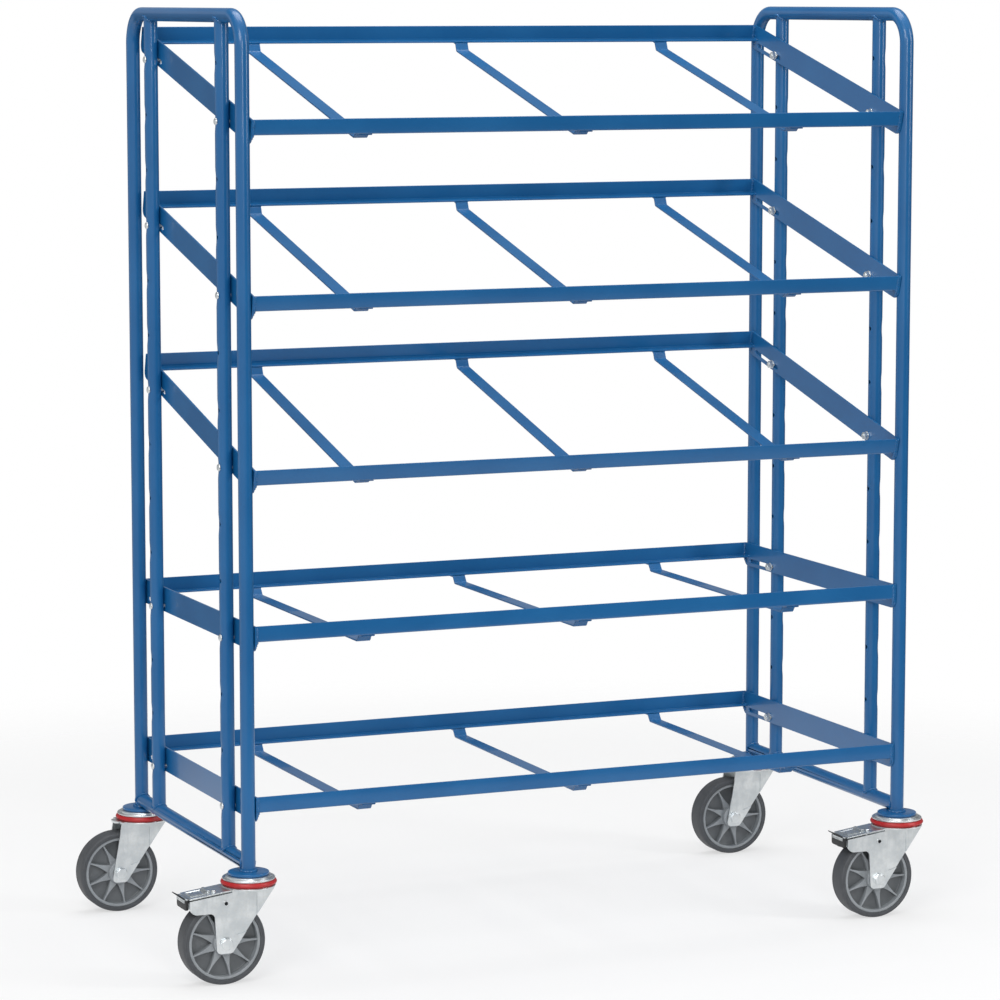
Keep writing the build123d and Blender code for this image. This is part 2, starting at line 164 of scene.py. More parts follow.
class Bench:
    """Modelling tools. Each piece that they make sits at the origin, with its place in its mesh."""

    @staticmethod
    def pick(*things: Piece) -> None:
        """Selects these objects alone and makes the first one active."""
        bpy.ops.object.select_all(action="DESELECT")
        for thing in things:
            thing.select_set(True)
        bpy.context.view_layer.objects.active = things[0]

    @staticmethod
    def scrap(*things: Piece) -> None:
        """Removes objects that are no longer needed."""
        for thing in things:
            bpy.data.objects.remove(thing)

    @staticmethod
    @contextmanager
    def editing(piece: Piece, everything: bool = True) -> Iterator[None]:
        """Opens a piece in edit mode.

        Args:
            piece: the piece to edit.
            everything: selects its whole mesh; otherwise the selection stays as it is.
        """
        Bench.pick(piece)
        bpy.ops.object.mode_set(mode="EDIT")
        if everything:
            bpy.ops.mesh.select_all(action="SELECT")
        yield
        bpy.ops.object.mode_set(mode="OBJECT")

    @staticmethod
    def extrude(way: Spot) -> None:
        """Extrudes what is selected in edit mode."""
        bpy.ops.mesh.extrude_region_move(TRANSFORM_OT_translate={"value": way})

    @staticmethod
    def mend() -> None:
        """Merges the doubled vertices of the mesh in edit mode, and points its faces outwards."""
        bpy.ops.mesh.select_all(action="SELECT")
        bpy.ops.mesh.remove_doubles(threshold=MERGE)
        bpy.ops.mesh.normals_make_consistent(inside=False)

    @staticmethod
    def choose(piece: Piece, element: Element, test: Callable[[Any], bool]) -> None:
        """Selects some of a piece's vertices, edges or faces.

        Args:
            piece: the piece.
            element: what is selected.
            test: says so from a vertex's place, from the places of an edge's ends, or from a face's normal.
        """
        mesh = piece.data
        for group in (mesh.vertices, mesh.edges, mesh.polygons):
            group.foreach_set("select", [False] * len(group))
        bpy.context.tool_settings.mesh_select_mode = element.value
        if element is Element.VERTEX:
            items = [(vertex, vertex.co) for vertex in mesh.vertices]
        elif element is Element.EDGE:
            items = [(edge, [mesh.vertices[index].co for index in edge.vertices]) for edge in mesh.edges]
        else:
            items = [(face, face.normal) for face in mesh.polygons]
        for item, measure in items:
            item.select = test(measure)

    @staticmethod
    def apply(piece: Piece, kind: str, **settings: Any) -> None:
        """Adds a modifier to a piece and applies it.

        Args:
            piece: the piece.
            kind: the modifier's type.
            **settings: its settings.
        """
        modifier = piece.modifiers.new("work", kind)
        for name, value in settings.items():
            setattr(modifier, name, value)
        Bench.pick(piece)
        bpy.ops.object.modifier_apply(modifier=modifier.name)

    @staticmethod
    def outline(name: str, points: Sequence[Point], place: Matrix, filled: bool = True) -> Piece:
        """Lays a circle's vertices along an outline.

        Args:
            name: the piece's name.
            points: the outline, in its drawing plane.
            place: the drawing plane.
            filled: gives it a face.

        Returns:
            The flat piece.
        """
        bpy.ops.object.select_all(action="DESELECT")
        bpy.ops.mesh.primitive_circle_add(vertices=len(points), fill_type="NGON" if filled else "NOTHING")
        piece = bpy.context.object
        piece.name = name
        for vertex, (across, up) in zip(piece.data.vertices, points):
            vertex.co = place @ Vector((across, up, 0.0))
        return piece

    @staticmethod
    def extruded(name: str, points: Sequence[Point], place: Matrix, start: float, end: float) -> Piece:
        """Extrudes an outline along its plane's normal.

        Args:
            name: the piece's name.
            points: the outline, in its drawing plane.
            place: the drawing plane.
            start: where the piece begins along the normal.
            end: where it ends.

        Returns:
            The closed piece.
        """
        piece = Bench.outline(name, points, place @ Matrix.Translation((0, 0, start)))
        with Bench.editing(piece):
            Bench.extrude(place.to_3x3() @ Vector((0, 0, end - start)))
            Bench.mend()
        return piece

    @staticmethod
    def folded(name: str, path: Sequence[Point], place: Matrix, start: float, end: float,
               thickness: float) -> Piece:
        """Folds a strip of sheet along an open path.

        Args:
            name: the piece's name.
            path: the folds of the sheet's first face, in their drawing plane.
            place: the drawing plane.
            start: where the strip's first edge is along the plane's normal.
            end: where its second edge is.
            thickness: the sheet's thickness, which lies to the right of the path.

        Returns:
            The closed piece.
        """
        piece = Bench.outline(name, path, place @ Matrix.Translation((0, 0, start)), filled=False)
        tips = [piece.data.vertices[index].co.copy() for index in (0, len(path) - 1)]
        Bench.choose(piece, Element.EDGE, lambda ends: all(tip in ends for tip in tips))
        with Bench.editing(piece, everything=False):
            bpy.ops.mesh.delete(type="EDGE")
            bpy.ops.mesh.select_all(action="SELECT")
            Bench.extrude(place.to_3x3() @ Vector((0, 0, end - start)))
        Bench.apply(piece, "SOLIDIFY", thickness=thickness, offset=1.0, use_even_offset=True)
        with Bench.editing(piece):
            Bench.mend()
        return piece

    @staticmethod
    def turned(name: str, profile: Sequence[Point], place: Matrix = Matrix.Identity(4),
               steps: int = 96) -> Piece:
        """Spins a closed profile all the way round its axis.

        Args:
            name: the piece's name.
            profile: radius and height of each point.
            place: puts the piece, turned round Z at the origin, in its place.
            steps: stretches in the full turn.

        Returns:
            The closed piece.
        """
        piece = Bench.outline(name, profile, SIDE_VIEW, filled=False)
        with Bench.editing(piece):
            bpy.ops.mesh.spin(steps=steps, angle=2 * math.pi, center=(0, 0, 0), axis=(0, 0, 1))
            Bench.mend()
        piece.data.transform(place)
        return piece

    @staticmethod
    def rod(name: str, radius: float, start: Spot, end: Spot, sides: int = 48, ends: str = "NGON") -> Piece:
        """Puts a cylinder between two points.

        Args:
            name: the piece's name.
            radius: its radius.
            start: the middle of one end.
            end: the middle of the other end.
            sides: how many sides it has.
            ends: how its ends are filled.

        Returns:
            The piece.
        """
        way = Vector(end) - Vector(start)
        bpy.ops.object.select_all(action="DESELECT")
        bpy.ops.mesh.primitive_cylinder_add(
            vertices=sides, radius=radius, depth=way.length, end_fill_type=ends)
        piece = bpy.context.object
        piece.name = name
        turn = way.to_track_quat("Z", "Y").to_matrix().to_4x4()
        piece.data.transform(Matrix.Translation((Vector(start) + Vector(end)) / 2) @ turn)
        return piece

    @staticmethod
    def bead(path: Sequence[Vector], radius: float, ripple: float, closed: bool = False) -> Piece:
        """Lays a rippled weld bead along a path.

        Args:
            path: points along the bead, about a third of a ripple apart.
            radius: the bead's mean radius.
            ripple: how much of the radius comes and goes.
            closed: joins the last point to the first.

        Returns:
            The piece.
        """
        curve = bpy.data.curves.new("bead", "CURVE")
        curve.dimensions = "3D"
        curve.bevel_depth = radius
        curve.bevel_resolution = 2
        curve.use_fill_caps = not closed
        spline = curve.splines.new("POLY")
        spline.points.add(len(path) - 1)
        for index, (point, place) in enumerate(zip(spline.points, path)):
            point.co = (*place, 1.0)
            swell = 1 + ripple * (math.sin(index * RIPPLE_TURN) + math.sin(index * SWELL_TURN) / 2)
            at_end = not closed and index in (0, len(path) - 1)
            point.radius = BEAD_TAPER * swell if at_end else swell
        spline.use_cyclic_u = closed
        piece = bpy.data.objects.new("bead", curve)
        bpy.context.scene.collection.objects.link(piece)
        Bench.pick(piece)
        bpy.ops.object.convert(target="MESH")
        return bpy.context.object

    @staticmethod
    def copy(piece: Piece, name: str, place: Matrix = Matrix.Identity(4)) -> Piece:
        """Copies a piece with a mesh of its own.

        Args:
            piece: what is copied.
            name: the copy's name.
            place: moves the copy's mesh.

        Returns:
            The copy.
        """
        mesh = piece.data.copy()
        mesh.transform(place)
        twin = bpy.data.objects.new(name, mesh)
        bpy.context.scene.collection.objects.link(twin)
        return twin

    @staticmethod
    def join(name: str, pieces: Sequence[Piece]) -> Piece:
        """Joins pieces into one.

        Args:
            name: the joined piece's name.
            pieces: two or more pieces.

        Returns:
            The joined piece.
        """
        Bench.pick(*pieces)
        bpy.ops.object.join()
        joined = bpy.context.object
        joined.name = name
        joined.data.name = name
        return joined

    @staticmethod
    def carve(piece: Piece, tools: Sequence[Piece], operation: str = "DIFFERENCE") -> None:
        """Cuts a piece with others, or adds them to it, and removes them.

        Args:
            piece: what is cut.
            tools: the cutting shapes.
            operation: the boolean modifier's operation.
        """
        for tool in tools:
            Bench.apply(piece, "BOOLEAN", object=tool, operation=operation, solver="EXACT")
            Bench.scrap(tool)

    @staticmethod
    def ease(piece: Piece, width: float, segments: int = 2, angle: float = 40) -> None:
        """Rounds a piece's sharp edges.

        Args:
            piece: the piece.
            width: width of the rounding.
            segments: faces across it.
            angle: edges that turn by fewer degrees stay.
        """
        Bench.apply(piece, "BEVEL", width=width, segments=segments, limit_method="ANGLE",
                    angle_limit=math.radians(angle), use_clamp_overlap=True)

    @staticmethod
    def smooth(piece: Piece, angle: float = 32, flat: bool = False) -> Piece:
        """Shades a piece smooth.

        Args:
            piece: the piece.
            angle: faces that turn by more degrees keep their edge.
            flat: keeps the large faces of a sheet piece flat up to their rounded edges.

        Returns:
            The same piece.
        """
        Bench.pick(piece)
        bpy.ops.object.shade_smooth_by_angle(angle=math.radians(angle))
        if flat:
            Bench.apply(piece, "WEIGHTED_NORMAL", weight=80, keep_sharp=True)
        return piece


def hexagon(name: str, across: float, height: float, bore: float, place: Matrix) -> Piece:
    """Makes a hexagon head or nut with its corners turned off.

    Args:
        name: the piece's name.
        across: width across its flats.
        height: its height.
        bore: radius of its hole, or 0.
        place: puts it, standing on the origin along Z, in its place.

    Returns:
        The piece.
    """
    corner = across / 2 / math.cos(math.pi / 6)
    face, chamfer, core = 0.47 * across, 0.08 * across, AXIS_GAP / 2
    piece = Bench.rod(name, corner, (0, 0, 0), (0, 0, height), 6)
    mould = Bench.turned("mould", [
        (core, 0), (face, 0), (corner, chamfer), (corner, height - chamfer), (face, height), (core, height)],
        steps=60)
    Bench.carve(piece, [mould], "INTERSECT")
    if bore > 0:
        Bench.carve(piece, [Bench.rod("bore", bore, (0, 0, -height), (0, 0, 2 * height), HOLE_SIDES)])
    piece.data.transform(place)
    return piece


def washer(bore: float, outer: float, height: float, place: Matrix) -> Piece:
    """Turns a washer with a rounded rim.

    Args:
        bore: radius of its hole.
        outer: its outer radius.
        height: its thickness.
        place: puts it, lying on the origin, in its place.

    Returns:
        The washer.
    """
    under, over = 0.0003, 0.0005
    corners = [(bore, 0, 0), (outer, 0, under), (outer, height, over), (bore, height, 0)]
    return Bench.turned("washer", rounded_outline(corners, 3), place, 48)


class Wire:
    """A socket with one number, on which Python's operators add Math nodes."""

    def __init__(self, graph: "Graph", socket: bpy.types.NodeSocket) -> None:
        """Wraps a graph's socket."""
        self.graph = graph
        self.socket = socket

    def combine(self, operation: str, first: "Number", second: "Number") -> "Wire":
        """Adds a Math node of this operation."""
        return self.graph.number("ShaderNodeMath", {"operation": operation}, {0: first, 1: second})

    def __add__(self, other: "Number") -> "Wire":
        """Adds."""
        return self.combine("ADD", self, other)

    __radd__ = __add__

    def __mul__(self, other: "Number") -> "Wire":
        """Multiplies."""
        return self.combine("MULTIPLY", self, other)

    __rmul__ = __mul__

    def __sub__(self, other: "Number") -> "Wire":
        """Subtracts another number from this one."""
        return self.combine("SUBTRACT", self, other)

    def __rsub__(self, other: "Number") -> "Wire":
        """Subtracts this number from another one."""
        return self.combine("SUBTRACT", other, self)

    def larger(self, other: "Number") -> "Wire":
        """Takes the larger of two numbers."""
        return self.combine("MAXIMUM", self, other)

    def between(self, low: float, high: float) -> "Wire":
        """Runs smoothly from 0 at low to 1 at high."""
        settings = {"interpolation_type": "SMOOTHSTEP"}
        return self.graph.number("ShaderNodeMapRange", settings, {0: self, 1: low, 2: high})


Number = Union[Wire, float]


class Graph:
    """The node tree of a material or of the world."""

    def __init__(self, owner: Union[bpy.types.Material, bpy.types.World]) -> None:
        """Starts an empty tree on its owner."""
        owner.use_nodes = True
        self.owner = owner
        self.tree = owner.node_tree
        self.tree.nodes.clear()

    @classmethod
    def finish(cls, slot: str) -> "Graph":
        """Starts the tree of a new material for a slot."""
        return cls(bpy.data.materials.new(slot + "_finish"))

    def node(self, kind: str, settings: dict[str, Any], values: dict[Any, Any],
             output: Union[int, str] = 0) -> bpy.types.NodeSocket:
        """Adds a node.

        Args:
            kind: the node's type.
            settings: its settings, set first.
            values: numbers, colours or links of its sockets, by name or number.
            output: which of its outputs is wanted.

        Returns:
            That output.
        """
        node = self.tree.nodes.new(kind)
        for name, value in settings.items():
            setattr(node, name, value)
        for name, value in values.items():
            link = value.socket if isinstance(value, Wire) else value
            if isinstance(link, bpy.types.NodeSocket):
                self.tree.links.new(link, node.inputs[name])
            else:
                node.inputs[name].default_value = link
        return node.outputs[output] if node.outputs else None

    def number(self, kind: str, settings: dict[str, Any], values: dict[Any, Any],
               output: Union[int, str] = 0) -> Wire:
        """Adds a node, as above, whose output is one number to calculate with."""
        return Wire(self, self.node(kind, settings, values, output))

    def place(self, stretch: Sequence[float] = (1, 1, 1)) -> bpy.types.NodeSocket:
        """Gives Object coordinates, scaled along each axis."""
        coordinates = self.node("ShaderNodeTexCoord", {}, {}, "Object")
        return self.node("ShaderNodeMapping", {}, {"Vector": coordinates, "Scale": tuple(stretch)})

    def noise(self, place: bpy.types.NodeSocket, scale: float, detail: float = 2.0,
              roughness: float = 0.5) -> Wire:
        """Adds a noise texture.

        Args:
            place: its coordinates.
            scale: how fine it is.
            detail: how many finer layers it has.
            roughness: how strong these are.

        Returns:
            A number from 0 to 1.
        """
        values = {"Vector": place, "Scale": scale, "Detail": detail, "Roughness": roughness}
        return self.number("ShaderNodeTexNoise", {}, values)

    def blend(self, factor: Number, first: Any, second: Any) -> bpy.types.NodeSocket:
        """Mixes two colours.

        Args:
            factor: 0 for the first colour, 1 for the second.
            first: a colour or a link to one.
            second: a colour or a link to one.

        Returns:
            The mixed colour.
        """
        pair = [(*colour, 1.0) if isinstance(colour, tuple) else colour for colour in (first, second)]
        return self.node("ShaderNodeMix", {"data_type": "RGBA"}, {0: factor, 6: pair[0], 7: pair[1]}, 2)

    def bump(self, height: Wire, distance: float, strength: float) -> bpy.types.NodeSocket:
        """Turns a height into a normal; distance is the height of 1 in metres."""
        values = {"Height": height, "Distance": distance, "Strength": strength}
        return self.node("ShaderNodeBump", {}, values)

    def ray(self, kind: str) -> Wire:
        """Gives 1 on rays of this kind and 0 on others."""
        return self.number("ShaderNodeLightPath", {}, {}, kind)

    def surface(self, values: dict[str, Any]) -> bpy.types.Material:
        """Ends a material in one Principled shader with these values."""
        shader = self.node("ShaderNodeBsdfPrincipled", {}, values)
        self.node("ShaderNodeOutputMaterial", {}, {"Surface": shader})
        return self.owner


@dataclass(frozen=True)
class GlossPaint:
    """Powder coat: a strong colour, faint clouds and the orange peel that makes its reflections waver."""
    slot: str
    colour: Colour
    cloud: Colour
    roughness: float
    specular: float = 0.42
    coat: float = 0.22
    coat_roughness: float = 0.035
    peel_height: float = 0.00005

    def build(self) -> bpy.types.Material:
        """Makes the material."""
        graph = Graph.finish(self.slot)
        place = graph.place()
        clouds = graph.noise(place, scale=7.0, detail=3.0)
        flecks = graph.noise(place, scale=900.0, detail=1.0).between(0.62, 0.72)
        peel = graph.noise(place, scale=330.0, detail=1.0)
        return graph.surface({
            "Base Color": graph.blend(clouds.between(0.3, 0.75), self.colour, self.cloud),
            "Roughness": self.roughness + 0.10 * clouds + 0.05 * flecks,
            "Specular IOR Level": self.specular,
            "Coat Weight": self.coat + 0.12 * clouds,
            "Coat Roughness": self.coat_roughness,
            "Normal": graph.bump(peel, self.peel_height, strength=0.7),
        })


@dataclass(frozen=True)
class PlatedSteel:
    """Bright plating over rolled sheet: cloudy tone, fine drawing lines and a faint cool or warm cast."""
    slot: str
    bright: Colour
    dull: Colour
    cast: Colour
    roughness: float
    relief: float = 0.00002

    def build(self) -> bpy.types.Material:
        """Makes the material."""
        graph = Graph.finish(self.slot)
        place = graph.place()
        clouds = graph.noise(place, scale=38.0, detail=4.0, roughness=0.6)
        spangle = graph.noise(place, scale=260.0)
        lines = graph.noise(graph.place((1.0, 1.0, 14.0)), scale=160.0)
        runs = graph.noise(graph.place((1.0, 1.0, 0.10)), scale=150.0, detail=3.0, roughness=0.6)
        tone = graph.blend(clouds.between(0.3, 0.7), self.bright, self.dull)
        tone = graph.blend(0.55 * runs.between(0.48, 0.72), tone, self.dull)
        tone = graph.blend(0.35 * spangle.between(0.45, 0.75), tone, self.cast)
        return graph.surface({
            "Base Color": tone,
            "Metallic": 1.0,
            "Roughness": self.roughness + 0.14 * clouds + 0.06 * lines,
            "Normal": graph.bump(spangle + 0.6 * lines + 1.5 * runs, self.relief, strength=0.7),
        })


@dataclass(frozen=True)
class Moulded:
    """Moulded plastic or rubber: fine grain, flow marks, a little dust and, on some, painted shade in the
    pockets.
    """
    slot: str
    colour: Colour
    flow: Colour
    dust: Colour
    roughness: float
    grain: float
    # Colour of the painted shade in the pockets that a piece's mesh marks.
    pocket: Optional[Colour] = None

    def build(self) -> bpy.types.Material:
        """Makes the material."""
        graph = Graph.finish(self.slot)
        place = graph.place()
        marks = graph.noise(place, scale=55.0, detail=3.0, roughness=0.6)
        fine = graph.noise(place, scale=1400.0)
        patches = graph.noise(place, scale=24.0, detail=5.0, roughness=0.65).between(0.52, 0.8)
        colour = graph.blend(marks.between(0.3, 0.7), self.colour, self.flow)
        colour = graph.blend(0.3 * patches, colour, self.dust)
        # Painted shade: the colour darkens to the shade colour where the mesh marks the pockets.
        if self.pocket:
            depth = graph.number("ShaderNodeAttribute", {"attribute_name": PAINTED_SHADE_ATTRIBUTE}, {}, "Fac")
            colour = graph.blend(depth, colour, self.pocket)
        return graph.surface({
            "Base Color": colour,
            "Roughness": self.roughness + 0.12 * marks + 0.08 * patches,
            "Normal": graph.bump(fine, self.grain, strength=0.8),
        })


FINISHES = (
    GlossPaint("blue_paint", (0.0055, 0.101, 0.278), (0.0080, 0.118, 0.312), 0.28),
    PlatedSteel("zinc_plate", (0.80, 0.83, 0.84), (0.62, 0.66, 0.68), (0.70, 0.70, 0.67), 0.26),
    PlatedSteel("bearing_steel", (0.52, 0.52, 0.52), (0.40, 0.40, 0.41), (0.46, 0.44, 0.42), 0.24),
    Moulded("red_seal", (0.40, 0.008, 0.011), (0.46, 0.014, 0.017), (0.38, 0.07, 0.07), 0.34, 0.00001),
    # The rim's last colour is the painted shade of its pockets.
    Moulded("rim_plastic", (0.250, 0.270, 0.286), (0.285, 0.307, 0.323), (0.38, 0.39, 0.40), 0.40, 0.00002,
            (0.150, 0.161, 0.170)),
    Moulded("tyre_rubber", (0.056, 0.060, 0.066), (0.068, 0.073, 0.080), (0.13, 0.13, 0.13), 0.52, 0.00003),
    Moulded("brake_plastic", (0.006, 0.0065, 0.0075), (0.010, 0.011, 0.012), (0.03, 0.03, 0.03), 0.46,
            0.00002),
)


class Workshop:
    """Holds the frame and the finishes, and hands each piece over to the body that carries it."""

    def __init__(self, frame: dict[str, Any]) -> None:
        """Takes the loaded frame, and dresses its nodes in the finishes of their slots."""
        self.nodes: dict[str, Piece] = frame["nodes"]
        self.joints: dict[str, dict[str, Any]] = {joint["name"]: joint for joint in frame["joints"]}
        self.finishes = {finish.slot: finish.build() for finish in FINISHES}
        for node in self.nodes.values():
            node.data.materials[0] = self.finishes[node.data.materials[0].name]

    def hand_over(self, piece: Piece, body: str, slot: str, *nodes: str) -> None:
        """Gives a finished piece its material and its body.

        Args:
            piece: the piece.
            body: what it moves with.
            slot: the slot of its finish.
            *nodes: the nodes that it stands for.
        """
        piece.data.materials.clear()
        piece.data.materials.append(self.finishes[slot])
        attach(piece, body)
        if nodes:
            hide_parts(*nodes)
        LOG.info("%s on %s, %d faces", piece.name, body, len(piece.data.polygons))

    def weld_on(self, part: Piece, name: str, place: Matrix, *nodes: str) -> None:
        """Hands over a copy of a part as a painted piece of the frame."""
        self.hand_over(Bench.copy(part, name, place), "frame", "blue_paint", *nodes)

    def likeness(self, node: str, name: str) -> Piece:
        """Copies a node's mesh, merges its loose triangles and dissolves the flat ones.

        Args:
            node: the node.
            name: the copy's name.

        Returns:
            The copy, to be shaped further.
        """
        piece = Bench.copy(self.nodes[node], name)
        piece.data.materials.clear()
        with Bench.editing(piece):
            bpy.ops.mesh.remove_doubles(threshold=MERGE)
            bpy.ops.mesh.dissolve_limited(angle_limit=FLAT_TURN)
        return piece


class End(Enum):
    """The trolley's two ends, with the direction that faces away from the trays."""
    LEFT = -1
    RIGHT = 1

    @property
    def word(self) -> str:
        """The end's name in nodes."""
        return self.name.lower()

    @property
    def turn(self) -> Matrix:
        """Turns what is modelled for the left end to face this one."""
        return Matrix.Identity(4) if self is End.LEFT else Matrix.Rotation(math.pi, 4, "Z")


@dataclass
class EndFrames:
    """Both welded end frames: a bent bow, two dented posts and a bottom rail each, on four caster discs."""
    shop: Workshop
    wall: float = 0.002
    bend: float = 0.054
    bend_steps: int = 20
    hole_pitch: float = 0.1
    hole_count: int = 14
    hole_radius: float = 0.00425
    first_hole: float = 0.2895
    dent_depth: float = 0.0011
    dent_reach: float = 0.017
    dent_share: float = 0.88
    dent_cuts: int = 23
    sides: int = 48
    bead_radius: float = 0.0021
    bead_out: float = 0.3
    bead_ripple: float = 0.16
    bead_steps: int = 44
    # Least rise of a saddle's bead, as a share of its reach.
    saddle_share: float = 0.3
    foot_bead: float = 0.002625
    foot_ripple: float = 0.35
    foot_lift: float = 0.00084
    disc_bore: float = 0.005
    disc_edge: float = 0.0012

    def __post_init__(self) -> None:
        """Reads the tubes' places from the frame."""
        low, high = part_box("left_bow")
        self.radius = (high.x - low.x) / 2
        self.leg_y = high.y - self.radius
        self.foot = low.z
        self.top = high.z - self.radius
        self.end_x = {end: sum((corner.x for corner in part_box(end.word + "_bow"))) / 2 for end in End}
        post_low, post_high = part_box("left_back_post")
        self.post_y = (post_low.y + post_high.y) / 2
        rail_low, rail_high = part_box("left_bottom_rail")
        self.rail_z = (rail_low.z + rail_high.z) / 2

    def hole_height(self, number: int) -> float:
        """Gives the height of a post's hole, counted from the lowest, 0."""
        return self.first_hole + self.hole_pitch * number

    def build(self) -> None:
        """Models one end's tubes and welds, copies them to both ends, and turns the caster discs."""
        bow, rail, post, welds = self.bow(), self.bottom_rail(), self.post(), self.welds()
        for end in End:
            word = end.word
            place = Matrix.Translation((self.end_x[end], 0, 0)) @ end.turn
            self.shop.weld_on(bow, word + "_bent_bow", place, word + "_bow")
            self.shop.weld_on(rail, word + "_tube_rail", place, word + "_bottom_rail")
            for side, name in ((-1, "front"), (1, "back")):
                spot = Matrix.Translation((self.end_x[end], side * self.post_y, 0)) @ end.turn
                self.shop.weld_on(post, f"{word}_{name}_dented_post", spot, f"{word}_{name}_post")
            self.shop.weld_on(welds, word + "_end_welds", place)
        Bench.scrap(bow, rail, post, welds)
        low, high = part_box("caster_discs")
        outer = high.x - self.end_x[End.RIGHT]
        bore, edge = self.disc_bore, self.disc_edge
        corners = [(bore, low.z, 0), (outer, low.z, edge), (outer, high.z, edge), (bore, high.z, 0)]
        self.ring_feet("turned_caster_discs", corners, "blue_paint", "caster_discs")

    def ring_feet(self, name: str, corners: Sequence[Corner], slot: str, node: str) -> None:
        """Turns a ring under each leg and hands the four over as one piece.

        Args:
            name: the piece's name.
            corners: radius, height and rounding of the corners of the ring's profile.
            slot: the slot of its finish.
            node: the node that it stands for.
        """
        profile = rounded_outline(corners, 4)
        rings = [Bench.turned("ring", profile, Matrix.Translation((self.end_x[end], side * self.leg_y, 0)))
                 for end in End for side in (-1, 1)]
        self.shop.hand_over(Bench.smooth(Bench.join(name, rings)), "frame", slot, node)

    def bow(self) -> Piece:
        """Bends one tube from foot to foot, at the origin along X.

        Returns:
            The bow.
        """
        bpy.ops.object.select_all(action="DESELECT")
        bpy.ops.mesh.primitive_circle_add(vertices=self.sides, radius=self.radius)
        bow = bpy.context.object
        bow.data.transform(Matrix.Translation((0, -self.leg_y, self.foot)))
        shoulder = self.top - self.bend
        flat = self.leg_y - self.bend
        runs = ((0, 0, shoulder - self.foot), (0, 2 * flat, 0))
        with Bench.editing(bow):
            for run, middle in zip(runs, (-flat, flat)):
                Bench.extrude(run)
                bpy.ops.mesh.spin(steps=self.bend_steps, angle=math.pi / 2, center=(0, middle, shoulder),
                                  axis=(1, 0, 0))
            Bench.extrude((0, 0, self.foot - shoulder))
            Bench.mend()
        Bench.apply(bow, "SOLIDIFY", thickness=self.wall, offset=-1)
        return Bench.smooth(bow)

    def bottom_rail(self) -> Piece:
        """Models the tube between the legs, with its ends cut to their round.

        Returns:
            The rail.
        """
        rail = Bench.rod("rail", self.radius, (0, -self.leg_y, self.rail_z), (0, self.leg_y, self.rail_z),
                         self.sides, "NOTHING")
        Bench.apply(rail, "SOLIDIFY", thickness=self.wall, offset=-1)
        legs = [Bench.rod("leg", self.radius, (0, y, self.foot - self.radius), (0, y, self.top), self.sides)
                for y in (-self.leg_y, self.leg_y)]
        Bench.carve(rail, legs)
        return Bench.smooth(rail)

    def post(self) -> Piece:
        """Models a post at the origin: a dented stretch per hole, stacked, drilled and cut to the tubes.

        Returns:
            The post, dented on the side that faces -X.
        """
        half = self.hole_pitch / 2
        post = Bench.rod("post", self.radius, (0, 0, -half), (0, 0, half), self.sides, "NOTHING")
        Bench.choose(post, Element.EDGE, lambda ends: abs(ends[0].z - ends[1].z) > half)
        with Bench.editing(post, everything=False):
            bpy.ops.mesh.subdivide(number_cuts=self.dent_cuts)
        edge = -self.dent_share * self.radius
        Bench.choose(post, Element.VERTEX, lambda spot: abs(spot.z) < self.hole_radius and spot.x < edge)
        with Bench.editing(post, everything=False):
            bpy.ops.transform.translate(
                value=(self.dent_depth, 0, 0), use_proportional_edit=True, proportional_edit_falloff="SMOOTH",
                proportional_size=self.dent_reach, use_proportional_connected=True)
        post.data.transform(Matrix.Translation((0, 0, self.first_hole)))
        self.stack(post, merged=True)
        low, high = self.hole_height(0) - half, self.hole_height(self.hole_count - 1) + half
        for height, target in ((low, self.rail_z), (high, self.top)):
            Bench.choose(post, Element.VERTEX, lambda spot: abs(spot.z - height) < NEAR)
            with Bench.editing(post, everything=False):
                Bench.extrude((0, 0, target - height))
        with Bench.editing(post):
            Bench.mend()
        Bench.apply(post, "SOLIDIFY", thickness=self.wall, offset=-1)
        drill = Bench.rod("drill", self.hole_radius, (-2 * self.radius, 0, self.first_hole),
                          (2 * self.radius, 0, self.first_hole), HOLE_SIDES)
        self.stack(drill, merged=False)
        tubes = [Bench.rod("tube", self.radius, (0, -self.post_y, z), (0, self.post_y, z), self.sides)
                 for z in (self.rail_z, self.top)]
        Bench.carve(post, [drill, *tubes])
        return Bench.smooth(post, 40)

    def stack(self, piece: Piece, merged: bool) -> None:
        """Repeats a piece upwards for each hole of a post, and merges the copies' ends if asked."""
        Bench.apply(piece, "ARRAY", count=self.hole_count, use_relative_offset=False,
                    use_constant_offset=True, constant_offset_displace=(0, 0, self.hole_pitch),
                    use_merge_vertices=merged, merge_threshold=NEAR / 10)

    def saddle(self) -> list[Vector]:
        """Walks round a tube that stands along Z on a tube along Y, whose axis is at the origin.

        Returns:
            The points of the bead that joins them.
        """
        reach = self.radius + self.bead_out * self.bead_radius
        path = []
        for step in range(self.bead_steps):
            turn = 2 * math.pi * step / self.bead_steps
            across, along = reach * math.cos(turn), reach * math.sin(turn)
            rise = math.sqrt(max(reach ** 2 - across ** 2, (self.saddle_share * reach) ** 2))
            path.append(Vector((across, along, rise)))
        return path

    def welds(self) -> Piece:
        """Lays the beads round the posts' and rails' ends and the legs' feet of one end, at the origin.

        Returns:
            The beads, joined.
        """
        beads = []
        path = self.saddle()
        for side in (-1, 1):
            rail_end = plane((1, 0, 0), (0, 0, 1), (0, side * self.leg_y, self.rail_z))
            joints = (
                Matrix.Translation((0, side * self.post_y, self.rail_z)),
                Matrix.Translation((0, side * self.post_y, self.top)) @ Matrix.Diagonal((1, 1, -1, 1)),
                rail_end @ Matrix.Diagonal((1, 1, side, 1)),
            )
            for joint in joints:
                spots = [joint @ spot for spot in path]
                beads.append(Bench.bead(spots, self.bead_radius, self.bead_ripple, closed=True))
            foot = Vector((0, side * self.leg_y, self.foot + self.foot_lift))
            spots = [foot + Vector((spot.x, spot.y, 0)) for spot in path]
            beads.append(Bench.bead(spots, self.foot_bead, self.foot_ripple, closed=True))
        return Bench.smooth(Bench.join("end_welds", beads), 60)


